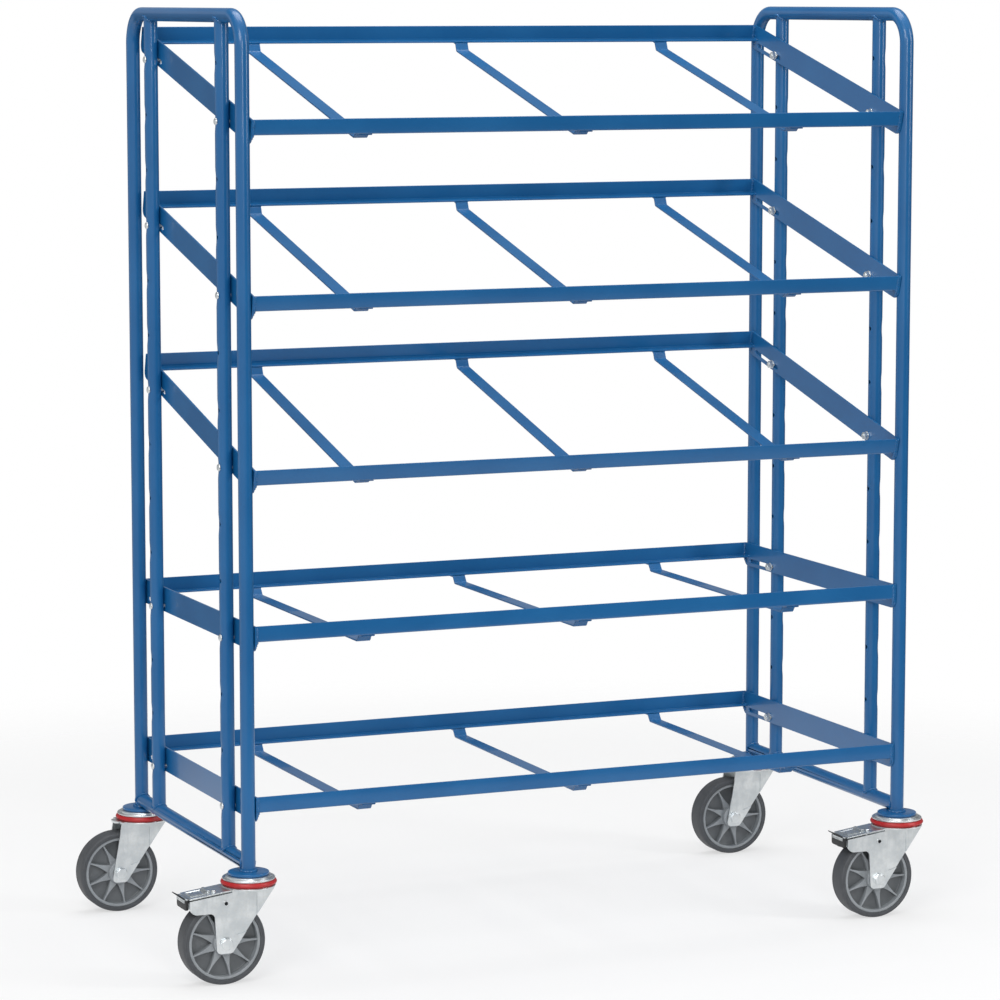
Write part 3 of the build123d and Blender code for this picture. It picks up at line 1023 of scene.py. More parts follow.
@dataclass
class Trays:
    """Five trays between the posts: angle rails, end plates, joggled strips, and their bolts."""
    shop: Workshop
    frames: EndFrames
    front_holes: tuple[int, ...] = (12, 9, 6, 3, 0)
    back_holes: tuple[int, ...] = (13, 10, 7, 3, 0)
    depth: float = 0.61
    sheet: float = 0.003
    flange: float = 0.02
    rail_low: float = 0.0065
    rail_high: float = 0.0345
    plate_low: float = -0.0105
    plate_corner: float = 0.013
    plate_edge: float = 0.0005
    fold: float = 0.0036
    edge: float = 0.0007
    slot_front_margin: float = 0.007
    slot_back_margin: float = 0.026
    slot_steps: int = 12
    strip_count: int = 3
    strip_width: float = 0.025
    strip_end_gap: float = 0.005
    strip_bend: float = 0.003
    joggle_drop: float = 0.012
    joggle_run: float = 0.009
    bead_radius: float = 0.0016
    bead_step: float = 0.0016
    bead_ripple: float = 0.2
    band_radius: float = 0.0030
    band_sink: float = 0.0018
    bolt_radius: float = 0.004
    bolt_chamfer: float = 0.0006
    bolt_end: float = 0.002
    head_radius: float = 0.0064
    head_height: float = 0.0035
    head_steps: int = 8
    nut_across: float = 0.013
    nut_height: float = 0.0065
    washer_radius: float = 0.008
    washer_height: float = 0.0016

    def __post_init__(self) -> None:
        """Reads the trays' length from the frame."""
        low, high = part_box("tray_5_rails")
        self.left, self.right = low.x, high.x
        self.post_spacing = 2 * self.frames.post_y
        self.front = (self.post_spacing - self.depth) / 2 - self.sheet
        self.back = self.front + self.depth + 2 * self.sheet
        pitch = (self.right - self.left) / self.strip_count
        self.strip_places = [self.left + pitch * (number + 0.5) for number in range(self.strip_count)]

    def place(self, number: int) -> Matrix:
        """Finds where a tray goes.

        Args:
            number: which tray it is, from the top.

        Returns:
            The matrix that takes a tray, modelled level at the origin, to its posts.
        """
        rise = (self.back_holes[number] - self.front_holes[number]) * self.frames.hole_pitch
        tilt = Matrix.Rotation(math.atan2(rise, self.post_spacing), 4, "X")
        height = self.frames.hole_height(self.front_holes[number])
        return Matrix.Translation((0, -self.frames.post_y, height)) @ tilt

    def build(self) -> None:
        """Models one tray's parts, copies them to the five places and hands them over."""
        rails, strips, plates, welds = self.rails(), self.strips(), self.plates(), self.welds()
        for number in range(len(self.front_holes)):
            word = f"tray_{number + 1}"
            spot = self.place(number)
            self.shop.weld_on(rails, word + "_folded_rails", spot, word + "_rails")
            self.shop.weld_on(strips, word + "_strips", spot, word + "_cross_strips")
            self.shop.weld_on(plates, word + "_end_plates", spot, word + "_side_plates")
            self.shop.weld_on(welds, word + "_welds", spot)
        Bench.scrap(rails, strips, plates, welds)
        self.fasteners()

    def rails(self) -> Piece:
        """Folds the front and the back rail, each an angle with a round outer corner.

        Returns:
            Both rails, joined.
        """
        pieces = []
        low, high, floor = self.rail_low, self.rail_high, self.rail_low + self.sheet
        for side, wall in ((1, self.front), (-1, self.back)):
            tip, inside = wall + side * self.flange, wall + side * self.sheet
            bare = ((tip, low), (tip, floor), (inside, floor), (inside, high), (wall, high))
            corners = [(wall, low, self.fold), *((across, up, self.edge) for across, up in bare)]
            outline = rounded_outline(corners, 6)
            pieces.append(Bench.extruded("rail", outline, END_VIEW, self.left, self.right))
        return Bench.smooth(Bench.join("rails", pieces), 28)

    def plates(self) -> Piece:
        """Cuts the end plates, each with a round hole for the front bolt and a slot for the back one.

        Returns:
            Both plates, joined.
        """
        low, high = self.plate_low, self.rail_high
        outline = rounded_outline([(self.front, low, self.plate_corner), (self.back, low, self.plate_corner),
                                   (self.back, high, self.edge), (self.front, high, self.edge)], 8)
        plates = Bench.join("plates", [Bench.extruded("plate", outline, END_VIEW, start, start + self.sheet)
                                       for start in (self.left - self.sheet, self.right)])
        ends = (self.left - 2 * self.sheet, self.right + 2 * self.sheet)
        radius = self.frames.hole_radius
        hole = Bench.rod("hole", radius, (ends[0], 0, 0), (ends[1], 0, 0), HOLE_SIDES)
        first, last = self.post_spacing - self.slot_front_margin, self.back - self.slot_back_margin
        turns = [math.pi * (0.5 + step / self.slot_steps) for step in range(self.slot_steps + 1)]
        half = [(first + radius * math.cos(turn), radius * math.sin(turn)) for turn in turns]
        slot_outline = half + [(first + last - across, -up) for across, up in half]
        Bench.carve(plates, [hole, Bench.extruded("slot", slot_outline, END_VIEW, *ends)])
        Bench.ease(plates, self.plate_edge, angle=50)
        return Bench.smooth(plates, 30, flat=True)

    def strips(self) -> Piece:
        """Folds the three strips: low under the boxes, with an end stepped up under each rail's flange.

        Returns:
            The strips, joined.
        """
        inner, outer = self.strip_bend, self.strip_bend + self.sheet
        step = self.front + self.flange
        front = [(self.front + self.strip_end_gap, self.rail_low, 0), (step, self.rail_low, outer),
                 (step + self.joggle_run, self.rail_low - self.joggle_drop, inner)]
        back = [(self.front + self.back - across, up, bend) for across, up, bend in front[::-1]]
        path = rounded_outline(front + back)
        half = self.strip_width / 2
        pieces = []
        for middle in self.strip_places:
            strip = Bench.folded("strip", path, END_VIEW, middle - half, middle + half, self.sheet)
            Bench.ease(strip, self.plate_edge, angle=60)
            pieces.append(strip)
        return Bench.smooth(Bench.join("strips", pieces), 30, flat=True)

    def seam(self, radius: float, *corners: Sequence[float]) -> Piece:
        """Lays a weld bead along straight stretches.

        Args:
            radius: the bead's radius.
            *corners: the points that it joins.

        Returns:
            The bead.
        """
        spots = [Vector(corner) for corner in corners]
        path = [spots[0]]
        for first, last in zip(spots, spots[1:]):
            count = max(2, round((last - first).length / self.bead_step))
            path += [first.lerp(last, step / count) for step in range(1, count + 1)]
        return Bench.bead(path, radius, self.bead_ripple)

    def welds(self) -> Piece:
        """Lays the beads in and on the rails' corners with the plates, and beside the strips' ends.

        Returns:
            The beads, joined.
        """
        beads = []
        low, high, floor = self.rail_low, self.rail_high, self.rail_low + self.sheet
        fine, band = self.bead_radius, self.band_radius
        for wall, side in ((self.front, 1), (self.back, -1)):
            inside, outside = wall + side * self.sheet, wall + side * self.band_sink
            tip, start = wall + side * self.flange, wall + side * 2 * self.strip_end_gap
            for x, inward in ((self.left, 1), (self.right, -1)):
                beads.append(self.seam(fine, (x, inside, floor), (x, inside, high - fine)))
                beads.append(self.seam(fine, (x, inside, floor), (x, tip, floor)))
                over, under = x + inward * band / 2, x - inward * self.sheet / 2
                beads.append(self.seam(band, (under, outside + side * 2 * band, self.plate_low + 2 * band),
                                       (over, outside, low), (over, outside, high - band / 2)))
            for middle in self.strip_places:
                for edge in (middle - self.strip_width / 2, middle + self.strip_width / 2):
                    beads.append(self.seam(fine, (edge, start, low), (edge, tip, low)))
        return Bench.smooth(Bench.join("tray_welds", beads), 60)

    def fasteners(self) -> None:
        """Models one dome-head bolt, one washer and one nut, and copies them to every bolt's place."""
        grip = self.left - self.frames.end_x[End.LEFT]
        nut_seat = grip + self.washer_height
        ring = washer(self.bolt_radius, self.washer_radius, self.washer_height,
                      Matrix.Translation((grip, 0, 0)) @ ALONG_X)
        nut = hexagon("nut", self.nut_across, self.nut_height, self.bolt_radius,
                      Matrix.Translation((nut_seat, 0, 0)) @ ALONG_X)
        head_seat = self.frames.radius - self.frames.dent_depth
        bolt = self.bolt(head_seat, nut_seat + self.nut_height + self.bolt_end)
        groups = ((bolt, "dome_bolts", "tray_bolts"), (ring, "plain_washers", "tray_washers"),
                  (nut, "hex_nuts", "tray_nuts"))
        for part, name, node in groups:
            Bench.smooth(part)
            piece = Bench.join(name, [Bench.copy(part, "copy", spot) for spot in self.bolt_places()])
            self.shop.hand_over(piece, "frame", "zinc_plate", node)
            Bench.scrap(part)

    def bolt_places(self) -> list[Matrix]:
        """Lists where the bolts go.

        Returns:
            The matrices, each turned so that +X points at the tray.
        """
        places = []
        for front, back in zip(self.front_holes, self.back_holes):
            for side, hole in ((-1, front), (1, back)):
                for end in End:
                    spot = (self.frames.end_x[end], side * self.frames.post_y, self.frames.hole_height(hole))
                    places.append(Matrix.Translation(spot) @ end.turn)
        return places

    def bolt(self, seat: float, tip: float) -> Piece:
        """Turns a dome-head bolt along X.

        Args:
            seat: how far its head's flat is on the -X side.
            tip: where its end is on the +X side.

        Returns:
            The bolt.
        """
        radius, height, chamfer = self.head_radius, self.head_height, self.bolt_chamfer
        turns = [math.pi / 2 * step / self.head_steps for step in range(self.head_steps)]
        dome = [(radius * math.cos(turn), -seat - height * math.sin(turn)) for turn in turns]
        profile = [(AXIS_GAP, -seat - height), (AXIS_GAP, tip), (self.bolt_radius - chamfer, tip),
                   (self.bolt_radius, tip - chamfer), (self.bolt_radius, chamfer - seat),
                   (radius, chamfer - seat), *dome]
        return Bench.turned("bolt", profile, ALONG_X, 40)


@dataclass
class CasterPart:
    """A part that several casters share: its mesh, and the ends of its piece's, body's and node's names."""
    mesh: Piece
    name: str
    body: str
    slot: str
    node: str = ""
    on_hub: bool = False

    def fit(self, shop: Workshop, word: str, place: Matrix) -> None:
        """Hands over a copy of the part for one caster.

        Args:
            shop: the workshop.
            word: the caster's name.
            place: where the copy goes.
        """
        piece = Bench.copy(self.mesh, f"{word}_{self.name}", place)
        nodes = [f"{word}_{self.node}"] if self.node else []
        shop.hand_over(piece, f"{word}_{self.body}", self.slot, *nodes)


@dataclass
class Brakes:
    """The front casters' brakes: a cover on the fork's tongue, and a pedal with its block and foot plate.

    They are modelled round the swivel axis at the origin, with the floor at zero height.
    """
    shop: Workshop
    tongue_tip: Point = (-0.117, 0.159)
    tongue_root: Point = (-0.0225, 0.171)
    cover_half: float = 0.0285
    cover_length: float = 0.0765
    cover_rise: float = 0.0006
    cover_corner: float = 0.003
    cover_edge: float = 0.0007
    gap_heights: Span = (-0.0044, -0.0016)
    gap_depth: float = 0.0050
    gap_before: float = 0.003
    gap_after: float = 0.001
    panel_run: Span = (0.006, 0.034)
    panel_half: float = 0.016
    panel_rise: float = 0.0016
    # Inset and lift of each step of the pressed panel.
    panel_steps: tuple[Point, ...] = ((0.0022, -0.0014), (0.0040, 0.0012))
    panel_lip: float = 0.0004
    ridge_run: Span = (0.0370, 0.0425)
    ridge_sides: Span = (-0.012, 0.020)
    ridge_rise: float = 0.0036
    ridge_corner: float = 0.001
    ridge_edge: float = 0.0011
    stop_place: Point = (0.0475, -0.0145)
    stop_radius: float = 0.0042
    stop_height: float = 0.0046
    stop_rounding: float = 0.0018
    nose_half: float = 0.0252
    nose_heights: Span = (0.1385, 0.1569)
    nose_back: float = -0.1182
    nose_rounding: float = 0.0055
    block_edge: float = 0.0012
    shoe_half: float = 0.019
    shoe_run: Span = (-0.1200, -0.1086)
    shoe_heights: Span = (0.1425, 0.1530)
    small_rounding: float = 0.001
    comb_run: Span = (-0.1248, -0.1234)
    bar_heights: Span = (0.1546, 0.1568)
    tooth_heights: Span = (0.1508, 0.1548)
    tooth_half: float = 0.0013
    teeth: int = 8
    foot_half: float = 0.020
    foot_root: float = -0.1236
    foot_tip: float = -0.134
    foot_height: float = 0.1576
    foot_rise: float = 0.0059
    foot_sheet: float = 0.002
    foot_rounding: float = 0.0008
    foot_edge: float = 0.0005
    fine_edge: float = 0.0003
    clear: float = 0.3

    def parts(self) -> list[CasterPart]:
        """Models what both brakes share.

        Returns:
            The parts.
        """
        return [
            CasterPart(self.cover(), "brake_cover", "caster", "zinc_plate"),
            CasterPart(self.block(), "brake_block", "brake", "brake_plastic", "brake_shoe"),
            CasterPart(self.comb(), "brake_comb", "brake", "zinc_plate"),
            CasterPart(self.foot_plate(), "foot_plate", "brake", "brake_plastic"),
        ]

    def deck(self) -> Matrix:
        """Finds the top of a braked fork's tongue.

        Returns:
            Its drawing plane: from its tip towards the swivel axis, and along Y.
        """
        (tip_x, tip_z), (root_x, root_z) = self.tongue_tip, self.tongue_root
        slope = math.atan2(root_z - tip_z, root_x - tip_x)
        return plane((math.cos(slope), 0, math.sin(slope)), (0, 1, 0), (tip_x, 0, tip_z))

    def gaps(self, ground: Matrix) -> list[Piece]:
        """Makes the cutters that part a fork's cheeks from the cover.

        Args:
            ground: where the caster stands.

        Returns:
            A cutter for each cheek.
        """
        half, depth, end = self.cover_half, self.gap_depth, self.cover_length + self.gap_after
        return [Bench.extruded("gap", rectangle(-self.gap_before, end, edge, edge + depth),
                               ground @ self.deck(), *self.gap_heights) for edge in (-half, half - depth)]

    def cover(self) -> Piece:
        """Models the plate on a braked fork's tongue: lipped edges, a pressed panel, a ridge and a stop.

        Returns:
            The cover.
        """
        deck = self.deck()
        half, length, top, corner = self.cover_half, self.cover_length, self.cover_rise, self.cover_corner
        outline = rounded_outline([(-top, -half, corner), (length, -half, 0), (length, half, 0),
                                   (-top, half, corner)])
        sheet = Bench.extruded("sheet", outline, deck, self.gap_heights[1], top)
        Bench.ease(sheet, self.cover_edge, segments=3)
        panel = Bench.extruded("panel", rectangle(*self.panel_run, -self.panel_half, self.panel_half),
                               deck, 0, top + self.panel_rise)
        normal = deck.to_3x3() @ Vector((0, 0, 1))
        Bench.choose(panel, Element.FACE, lambda way: way.dot(normal) > FACING)
        with Bench.editing(panel, everything=False):
            for inset, rise in self.panel_steps:
                bpy.ops.mesh.inset(thickness=inset)
                bpy.ops.transform.translate(value=normal * rise)
                bpy.ops.mesh.inset(thickness=self.panel_lip)
        Bench.ease(panel, self.fine_edge)
        ridge = Bench.extruded("ridge", rectangle(*self.ridge_run, *self.ridge_sides, self.ridge_corner),
                               deck, 0, top + self.ridge_rise)
        Bench.ease(ridge, self.ridge_edge, segments=3)
        radius = self.stop_radius
        profile = rounded_outline([(AXIS_GAP, 0, 0), (radius, 0, 0), (radius, radius, self.stop_rounding),
                                   (AXIS_GAP, self.stop_height, 0)])
        stop = Bench.turned("stop", profile, deck @ Matrix.Translation((*self.stop_place, 0)), 32)
        return Bench.smooth(Bench.join("cover", [sheet, panel, ridge, stop]), 35, flat=True)

    def block(self) -> Piece:
        """Moulds the brake block: a wide nose that hangs from the pedal, and the shoe behind it.

        Returns:
            The block.
        """
        half, rounding, small = self.nose_half, self.nose_rounding, self.small_rounding
        low, high = self.nose_heights
        nose = Bench.extruded("nose", rounded_outline([
            (-half, high, small), (-half, low, rounding), (half, low, rounding), (half, high, small)], 8),
            END_VIEW, self.foot_root, self.nose_back)
        low, high = self.shoe_heights
        front, back = self.shoe_run
        shoe = Bench.extruded("shoe", rounded_outline([
            (front, high, 0), (back, high, small), (back, low, 2 * small), (front, low, 0)], 4),
            SIDE_VIEW, -self.shoe_half, self.shoe_half)
        Bench.carve(nose, [shoe], "UNION")
        Bench.ease(nose, self.block_edge, segments=3, angle=50)
        return Bench.smooth(nose, 40)

    def comb(self) -> Piece:
        """Models the toothed strip along the top of the brake block's nose.

        Returns:
            The comb.
        """
        half = self.foot_half
        bars = [rectangle(-half, half, *self.bar_heights)]
        for number in range(self.teeth):
            across = half * (2 * number + 1 - self.teeth) / self.teeth
            bars.append(rectangle(across - self.tooth_half, across + self.tooth_half, *self.tooth_heights))
        comb = Bench.join("comb", [Bench.extruded("bar", bar, END_VIEW, *self.comb_run) for bar in bars])
        Bench.ease(comb, self.fine_edge)
        return Bench.smooth(comb)

    def foot_plate(self) -> Piece:
        """Models the black foot plate at the pedal's end.

        Returns:
            The foot plate.
        """
        root, tip, rounding = self.foot_root, self.foot_tip, self.foot_rounding
        low, high, rise = self.foot_height, self.foot_height + self.foot_sheet, self.foot_rise
        outline = rounded_outline([(root, low, 0), (root, high, 0), (tip, high + rise, rounding),
                                   (tip, low + rise, rounding)], 4)
        plate = Bench.extruded("plate", outline, SIDE_VIEW, -self.foot_half, self.foot_half)
        Bench.ease(plate, self.foot_edge)
        return Bench.smooth(plate)

    def pedal(self, word: str, ground: Matrix) -> None:
        """Cuts a pedal back to where its foot plate starts, and eases its edges.

        Args:
            word: the caster's name.
            ground: where the caster stands.
        """
        piece = self.shop.likeness(word + "_brake_pedal", word + "_pedal_yoke")
        end = rectangle(-self.clear, self.foot_root, 0, self.clear)
        Bench.carve(piece, [Bench.extruded("end", end, ground @ SIDE_VIEW, -self.clear, self.clear)])
        Bench.ease(piece, self.fine_edge)
        self.shop.hand_over(Bench.smooth(piece), word + "_brake", "zinc_plate", word + "_brake_pedal")


class Kind(Enum):
    """The two sorts of caster."""
    BRAKED = "front"
    PLAIN = "back"


@dataclass
class Casters:
    """The four swivel casters: bearing, fork and wheel, and on the front ones the brake.

    What they share is modelled round the swivel axis at the origin, with the floor at zero height.
    """
    shop: Workshop
    frames: EndFrames
    brakes: Brakes
    fork_edge: float = 0.0007
    fork_half: float = 0.0275
    panel_depth: float = 0.0019
    # Across, height and rounding of the corners of the panel pressed into the cheeks.
    panel: tuple[Corner, ...] = ((-0.034, 0.160, 0.002), (0.006, 0.160, 0.002), (0.006, 0.100, 0),
                                 (-0.034, 0.088, 0.004))
    race_flange: float = 0.004
    race_shoulder: float = 0.0055
    race_edge: float = 0.0012
    race_groove: float = 0.0014
    race_rounding: float = 0.0008
    race_fine: float = 0.0004
    seal_width: float = 0.009
    seal_undercut: float = 0.0055
    seal_skirt: float = 0.0024
    # Inwards, up from the seal's foot, and rounding.
    seal_lip: Corner = (0.0008, 0.0030, 0.0012)
    # Inwards, down from the seal's top, and rounding.
    seal_brow: Corner = (0, 0.0038, 0.0018)
    seal_top: Corner = (0.0022, 0, 0.0016)
    crown_rim: float = 0.0022
    crown_sheet: float = 0.0032
    crown_inset: float = 0.012
    crown_drop: float = 0.0001
    crown_lip: float = 0.6
    crown_edge: float = 0.001
    crown_top_edge: float = 0.0009
    tyre_depth: float = 0.00945
    tyre_shoulder: float = 0.004
    tyre_heel: float = 0.0006
    tread_inset: float = 0.006
    line_inset: float = 0.005
    mould_line: float = 0.0004
    wheel_steps: int = 128
    hub: float = 0.022
    hub_draft: float = 0.0004
    hub_edge: float = 0.0014
    bore: float = 0.014
    bore_edge: float = 0.0006
    web_half: float = 0.003
    web_fillet: float = 0.003
    rim_wall: float = 0.0047
    rim_half: float = 0.0185
    rim_draft: float = 0.0006
    rim_edge: float = 0.001
    rim_seat: float = 0.0008
    spokes: int = 9
    spoke_half: float = 0.015
    spoke_sink: float = 0.002
    # Half the width at the hub, halfway and at the ring.
    spoke_widths: tuple[float, float, float] = (0.0080, 0.0025, 0.0018)
    spoke_steps: int = 12
    spoke_edge: float = 0.0007
    hex_across: float = 0.019
    hex_height: float = 0.0075
    head_turn: float = 0.3
    nut_height: float = 0.010
    axle_radius: float = 0.006
    axle_edge: float = 0.0008
    washer_radius: float = 0.0114
    washer_height: float = 0.0011

    def build(self) -> None:
        """Models what the casters share once, and dresses each of them."""
        self.races()
        common = [
            CasterPart(self.rim(), "spoked_rim", "wheel", "rim_plastic", "rim", on_hub=True),
            CasterPart(self.tyre(), "moulded_tyre", "wheel", "tyre_rubber", "tyre", on_hub=True),
            CasterPart(self.axle(), "hex_axle", "caster", "zinc_plate", "axle", on_hub=True),
            CasterPart(self.seal(), "lipped_seal", "caster", "red_seal", "seal_ring"),
            CasterPart(self.crown(), "crown_rim", "caster", "zinc_plate"),
        ]
        brake = self.brakes.parts()
        for kind in Kind:
            for end in End:
                word = f"{kind.value}_{end.word}"
                swivel = Vector(self.shop.joints[word + "_swivel"]["pos_m"])
                hub = Matrix.Translation(self.shop.joints[word + "_roll"]["pos_m"])
                ground = Matrix.Translation((swivel.x, swivel.y, 0))
                for part in common:
                    part.fit(self.shop, word, hub if part.on_hub else ground)
                self.fork(word, ground, kind is Kind.BRAKED)
                if kind is Kind.BRAKED:
                    for part in brake:
                        part.fit(self.shop, word, ground)
                    self.brakes.pedal(word, ground)
        Bench.scrap(*(part.mesh for part in common + brake))

    def races(self) -> None:
        """Turns the four upper races, each a dish with a flange and a ringed shoulder."""
        low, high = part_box("upper_races")
        outer = high.x - self.frames.end_x[End.RIGHT]
        step, neck = low.z + self.race_flange, outer - self.race_shoulder
        edge, groove, rounding, fine = self.race_edge, self.race_groove, self.race_rounding, self.race_fine
        corners = [
            (self.bore / 2, low.z, 0), (outer - rounding, low.z, edge / 2), (outer, step - edge, rounding),
            (outer - groove, step, edge / 2), (outer - groove - edge, step - fine, fine),
            (neck, step - groove, fine), (neck - edge / 2, high.z - edge, rounding),
            (neck - self.race_flange, high.z - fine, rounding), (self.bore / 2, high.z, 0),
        ]
        self.frames.ring_feet("stepped_races", corners, "zinc_plate", "upper_races")

    def seal(self) -> Piece:
        """Turns a seal ring with a rolled lip and an undercut skirt.

        Returns:
            The seal ring.
        """
        low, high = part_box("front_left_seal_ring")
        outer = (high.x - low.x) / 2
        inner, skirt = outer - self.seal_width, outer - self.seal_undercut
        lip_in, lip_up, lip_rounding = self.seal_lip
        upper = [(outer - inward, high.z - down, rounding)
                 for inward, down, rounding in (self.seal_brow, self.seal_top)]
        corners = [(inner, low.z, 0), (skirt, low.z, 0), (skirt, low.z + self.seal_skirt, 0),
                   (outer - lip_in, low.z + lip_up, lip_rounding), *upper, (inner, high.z, 0)]
        return Bench.smooth(Bench.turned("seal", rounded_outline(corners)))

    def crown(self) -> Piece:
        """Turns the rim of the fork's crown, which stands out a little under the seal.

        Returns:
            The rim.
        """
        low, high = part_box("front_left_fork")
        radius = (high.y - low.y) / 2
        top, outer, inner = high.z - self.crown_drop, radius + self.crown_rim, radius - self.crown_inset
        sheet, edge = self.crown_sheet, self.crown_edge
        corners = [(inner, top - sheet, 0), (radius - edge, top - sheet, edge),
                   (outer, top - self.crown_lip * sheet, edge), (outer, top, self.crown_top_edge),
                   (inner, top, 0)]
        return Bench.smooth(Bench.turned("crown", rounded_outline(corners, 4)))

    def tyre(self) -> Piece:
        """Turns a tyre with round shoulders and fine mould lines, on Y at the origin.

        Returns:
            The tyre.
        """
        low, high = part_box("front_left_tyre")
        outer, half = (high.z - low.z) / 2, (high.y - low.y) / 2
        inner, line, rise = outer - self.tyre_depth, outer - self.line_inset, self.mould_line
        tread = half - self.tread_inset
        upper = [(outer - rise, tread - 2 * rise, 0), (outer, tread - rise, 0), (outer - rise, tread, 0),
                 (outer - rise, half, self.tyre_shoulder), (line + rise, half, 0), (line, half + rise, 0),
                 (line - rise, half, 0), (inner, half, self.tyre_heel)]
        profile = rounded_outline(mirrored(upper) + [(outer, 0, 0)] + upper, 6)
        return Bench.smooth(Bench.turned("tyre", profile, ALONG_Y, self.wheel_steps))

    def rim(self) -> Piece:
        """Turns a rim with its web and hub, and adds flared spokes on both sides, on Y at the origin.

        Returns:
            The rim, with its pockets marked for the painted shade of its finish.
        """
        low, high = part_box("front_left_rim")
        outer, hub_half = (high.z - low.z) / 2, (high.y - low.y) / 2
        ring = outer - self.rim_wall
        upper = [(self.bore, hub_half, self.bore_edge), (self.hub - self.hub_draft, hub_half, self.hub_edge),
                 (self.hub, self.web_half, self.web_fillet), (ring, self.web_half, self.web_fillet),
                 (ring - self.rim_draft, self.rim_half, self.rim_edge), (outer, self.rim_half, self.rim_seat)]
        rim = Bench.turned("rim", rounded_outline(upper + mirrored(upper), 4), steps=self.wheel_steps)
        Bench.carve(rim, [self.spoke(ring, number) for number in range(self.spokes)], "UNION")
        rim.data.transform(ALONG_Y)
        Bench.smooth(rim, 35)
        # Marks the web's points, where the finish paints shade into the pockets between the spokes.
        pockets = rim.data.attributes.new(PAINTED_SHADE_ATTRIBUTE, "FLOAT", "POINT")
        for vertex, depth in zip(rim.data.vertices, pockets.data):
            depth.value = float(abs(vertex.co.y) < 2 * self.web_half)
        return rim

    def spoke(self, ring: float, number: int) -> Piece:
        """Extrudes one spoke that flares into the hub.

        Args:
            ring: the rim ring's inner radius.
            number: which spoke it is.

        Returns:
            The spoke, round Z at the origin.
        """
        start, end = self.hub - self.spoke_sink, ring + self.spoke_sink
        root, waist, tip = self.spoke_widths
        right = []
        for step in range(self.spoke_steps + 1):
            share = step / self.spoke_steps
            width = (root * 2 * (share - 0.5) * (share - 1) - waist * 4 * share * (share - 1)
                     + tip * 2 * share * (share - 0.5))
            right.append((start + (end - start) * share, width))
        points = right + [(radius, -width) for radius, width in right[::-1]]
        spoke = Bench.extruded("spoke", points, Matrix.Identity(4), -self.spoke_half, self.spoke_half)
        Bench.ease(spoke, self.spoke_edge, angle=60)
        spoke.data.transform(Matrix.Rotation(2 * math.pi * number / self.spokes, 4, "Z"))
        return spoke

    def axle(self) -> Piece:
        """Models the axle bolt's head, shank and nut, on Y at the wheel's middle.

        Returns:
            The axle.
        """
        low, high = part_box("front_left_axle")
        front, back = low.y + self.frames.leg_y + self.hex_height, high.y + self.frames.leg_y
        seat = Matrix.Translation((0, front, 0)) @ ALONG_Y.inverted()
        head = hexagon("head", self.hex_across, self.hex_height, 0,
                       seat @ Matrix.Rotation(self.head_turn, 4, "Z"))
        ring = washer(self.axle_radius, self.washer_radius, self.washer_height, seat)
        nut = hexagon("nut", self.hex_across, self.nut_height, self.axle_radius,
                      Matrix.Translation((0, -front, 0)) @ ALONG_Y)
        shank = Bench.rod("shank", self.axle_radius, (0, front, 0), (0, back, 0), 40)
        Bench.ease(shank, self.axle_edge)
        return Bench.smooth(Bench.join("axle", [head, ring, nut, shank]))

    def fork(self, word: str, ground: Matrix, braked: bool) -> None:
        """Presses a panel into a fork's cheeks, parts a braked one's from its cover, and rounds the edges.

        Args:
            word: the caster's name.
            ground: where the caster stands.
            braked: says whether it has a brake.
        """
        piece = self.shop.likeness(word + "_fork", word + "_pressed_fork")
        if braked:
            Bench.carve(piece, self.brakes.gaps(ground))
        inner, outer = self.fork_half - self.panel_depth, self.fork_half + self.panel_depth
        panel = rounded_outline(self.panel)
        Bench.carve(piece, [Bench.extruded("panel", panel, ground @ SIDE_VIEW, *depths)
                            for depths in ((-outer, -inner), (inner, outer))])
        Bench.ease(piece, self.fork_edge, angle=30)
        Bench.smooth(piece, 35, flat=True)
        self.shop.hand_over(piece, word + "_caster", "zinc_plate", word + "_fork")


@dataclass(frozen=True)
class Lamp:
    """A softbox: where it stands, what it faces, its size and its power."""
    name: str
    place: Place
    aim: Place
    size: Span
    power: float

    def build(self) -> None:
        """Hangs the lamp."""
        data = bpy.data.lights.new(self.name, "AREA")
        data.shape = "RECTANGLE"
        data.size, data.size_y = self.size
        data.energy = self.power
        lamp = bpy.data.objects.new(self.name, data)
        lamp.location = self.place
        lamp.rotation_euler = (Vector(self.aim) - Vector(self.place)).to_track_quat("-Z", "Y").to_euler()
        bpy.context.scene.collection.objects.link(lamp)


LAMPS = (
    Lamp("key_softbox", (-3.2, -3.6, 4.2), (0.0, 0.0, 0.9), (2.4, 2.4), 122.0),
    Lamp("front_strip", (-1.6, -6.4, 2.6), (0.0, 0.0, 0.9), (0.9, 2.4), 84.0),
    Lamp("right_strip", (3.4, -2.6, 2.6), (0.0, 0.0, 0.9), (0.8, 2.6), 60.0),
    Lamp("top_softbox", (0.0, 0.6, 4.6), (0.0, 0.0, 0.0), (3.2, 2.2), 80.0),
)


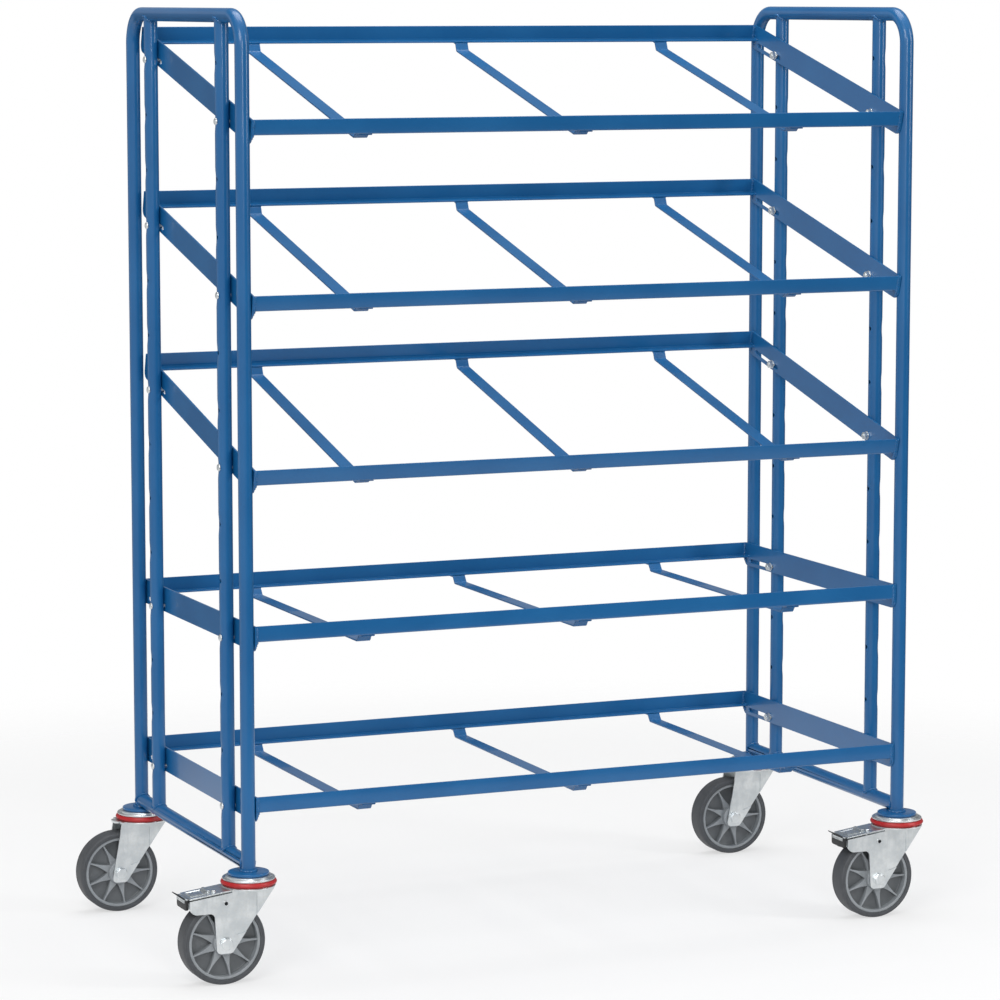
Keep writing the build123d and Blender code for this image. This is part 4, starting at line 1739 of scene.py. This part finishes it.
@dataclass
class Studio:
    """The camera, the lamps, the surrounding light and the white floor."""
    eye: Place = (-2.81815, -6.6161, 1.7031)
    yaw: float = 23.1117
    pitch: float = 7.3243
    lens: float = 141.08
    surround: float = 0.75
    white: Colour = (1.0, 1.0, 1.0)
    pale: Colour = (0.60, 0.61, 0.62)
    grey: Colour = (0.50, 0.51, 0.53)
    dark: Colour = (0.12, 0.125, 0.135)
    matt: Colour = (0.82, 0.82, 0.82)
    floor_half: float = 3.0
    floor_fade: Span = (1.5, 2.6)
    floor_glow: float = 0.6

    def build(self) -> None:
        """Sets the studio up."""
        bpy.context.scene.view_settings.view_transform = "Standard"
        self.camera()
        self.world()
        self.floor()
        for lamp in LAMPS:
            lamp.build()

    def camera(self) -> None:
        """Stands the camera where the photograph was taken from."""
        data = bpy.data.cameras.new("camera")
        data.sensor_width = 36.0
        data.lens = self.lens
        data.clip_end = 200.0
        camera = bpy.data.objects.new("camera", data)
        camera.location = self.eye
        camera.rotation_euler = (math.radians(90 - self.pitch), 0.0, math.radians(-self.yaw))
        bpy.context.scene.collection.objects.link(camera)
        bpy.context.scene.camera = camera

    def world(self) -> None:
        """Gives soft light from above that is darker near the horizon, on a background that shows white."""
        world = bpy.data.worlds.new("studio")
        bpy.context.scene.world = world
        graph = Graph(world)
        way = graph.node("ShaderNodeTexCoord", {}, {}, "Generated")
        across, behind, height = (graph.number("ShaderNodeSeparateXYZ", {}, {"Vector": way}, axis)
                                  for axis in "XYZ")
        tone = graph.blend(height.between(0.05, 0.55), self.dark, self.grey)
        tone = graph.blend(height.between(0.45, 1.0), tone, self.white)
        back, rise = behind.between(0.15, 0.55), height.between(0.28, 0.38)
        tone = graph.blend(0.8 * back * (height.between(0.04, 0.12) - rise), tone, self.pale)
        tone = graph.blend(0.8 * back * (rise - height.between(0.65, 0.85)), tone, self.dark)
        glow = across.between(-0.32, -0.52) * (1 - height.between(0.15, 0.40))
        tone = graph.blend(0.9 * glow, tone, self.white)
        shade = graph.node("ShaderNodeBackground", {}, {"Color": tone, "Strength": self.surround})
        white = graph.node("ShaderNodeBackground", {}, {"Color": (*self.white, 1), "Strength": 1.0})
        mixed = graph.node("ShaderNodeMixShader", {}, {0: graph.ray("Is Camera Ray"), 1: shade, 2: white})
        graph.node("ShaderNodeOutputWorld", {}, {"Surface": mixed})

    def floor(self) -> None:
        """Lays a pale floor that keeps the trolley's shadow and fades into the white further out."""
        bpy.ops.object.select_all(action="DESELECT")
        bpy.ops.mesh.primitive_plane_add(size=2 * self.floor_half)
        floor = bpy.context.object
        floor.name = "studio_floor"
        graph = Graph.finish("floor")
        away = graph.number("ShaderNodeVectorMath", {"operation": "LENGTH"}, {0: graph.place()}, "Value")
        kinds = ("Is Camera Ray", "Is Glossy Ray", "Is Transmission Ray")
        camera, glossy, through = (graph.ray(kind) for kind in kinds)
        share = self.floor_glow * camera.larger(glossy).larger(through)
        matt = graph.node("ShaderNodeBsdfDiffuse", {}, {"Color": (*self.matt, 1)})
        glow = graph.node("ShaderNodeEmission", {}, {"Color": (*self.white, 1), "Strength": 1.0})
        near = graph.node("ShaderNodeMixShader", {}, {0: share, 1: matt, 2: glow})
        clear = graph.node("ShaderNodeBsdfTransparent", {}, {})
        far = graph.node("ShaderNodeMixShader", {}, {0: away.between(*self.floor_fade), 1: near, 2: clear})
        graph.node("ShaderNodeOutputMaterial", {}, {"Surface": far})
        floor.data.materials.append(graph.owner)


def main() -> None:
    """Builds the trolley's looks piece by piece, then the studio."""
    logging.basicConfig(level=logging.INFO, format="%(name)s: %(message)s")
    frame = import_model()
    shop = Workshop(frame)
    frames = EndFrames(shop)
    frames.build()
    Trays(shop, frames).build()
    Casters(shop, frames, Brakes(shop)).build()
    Studio().build()


if __name__ == "__main__":
    main()
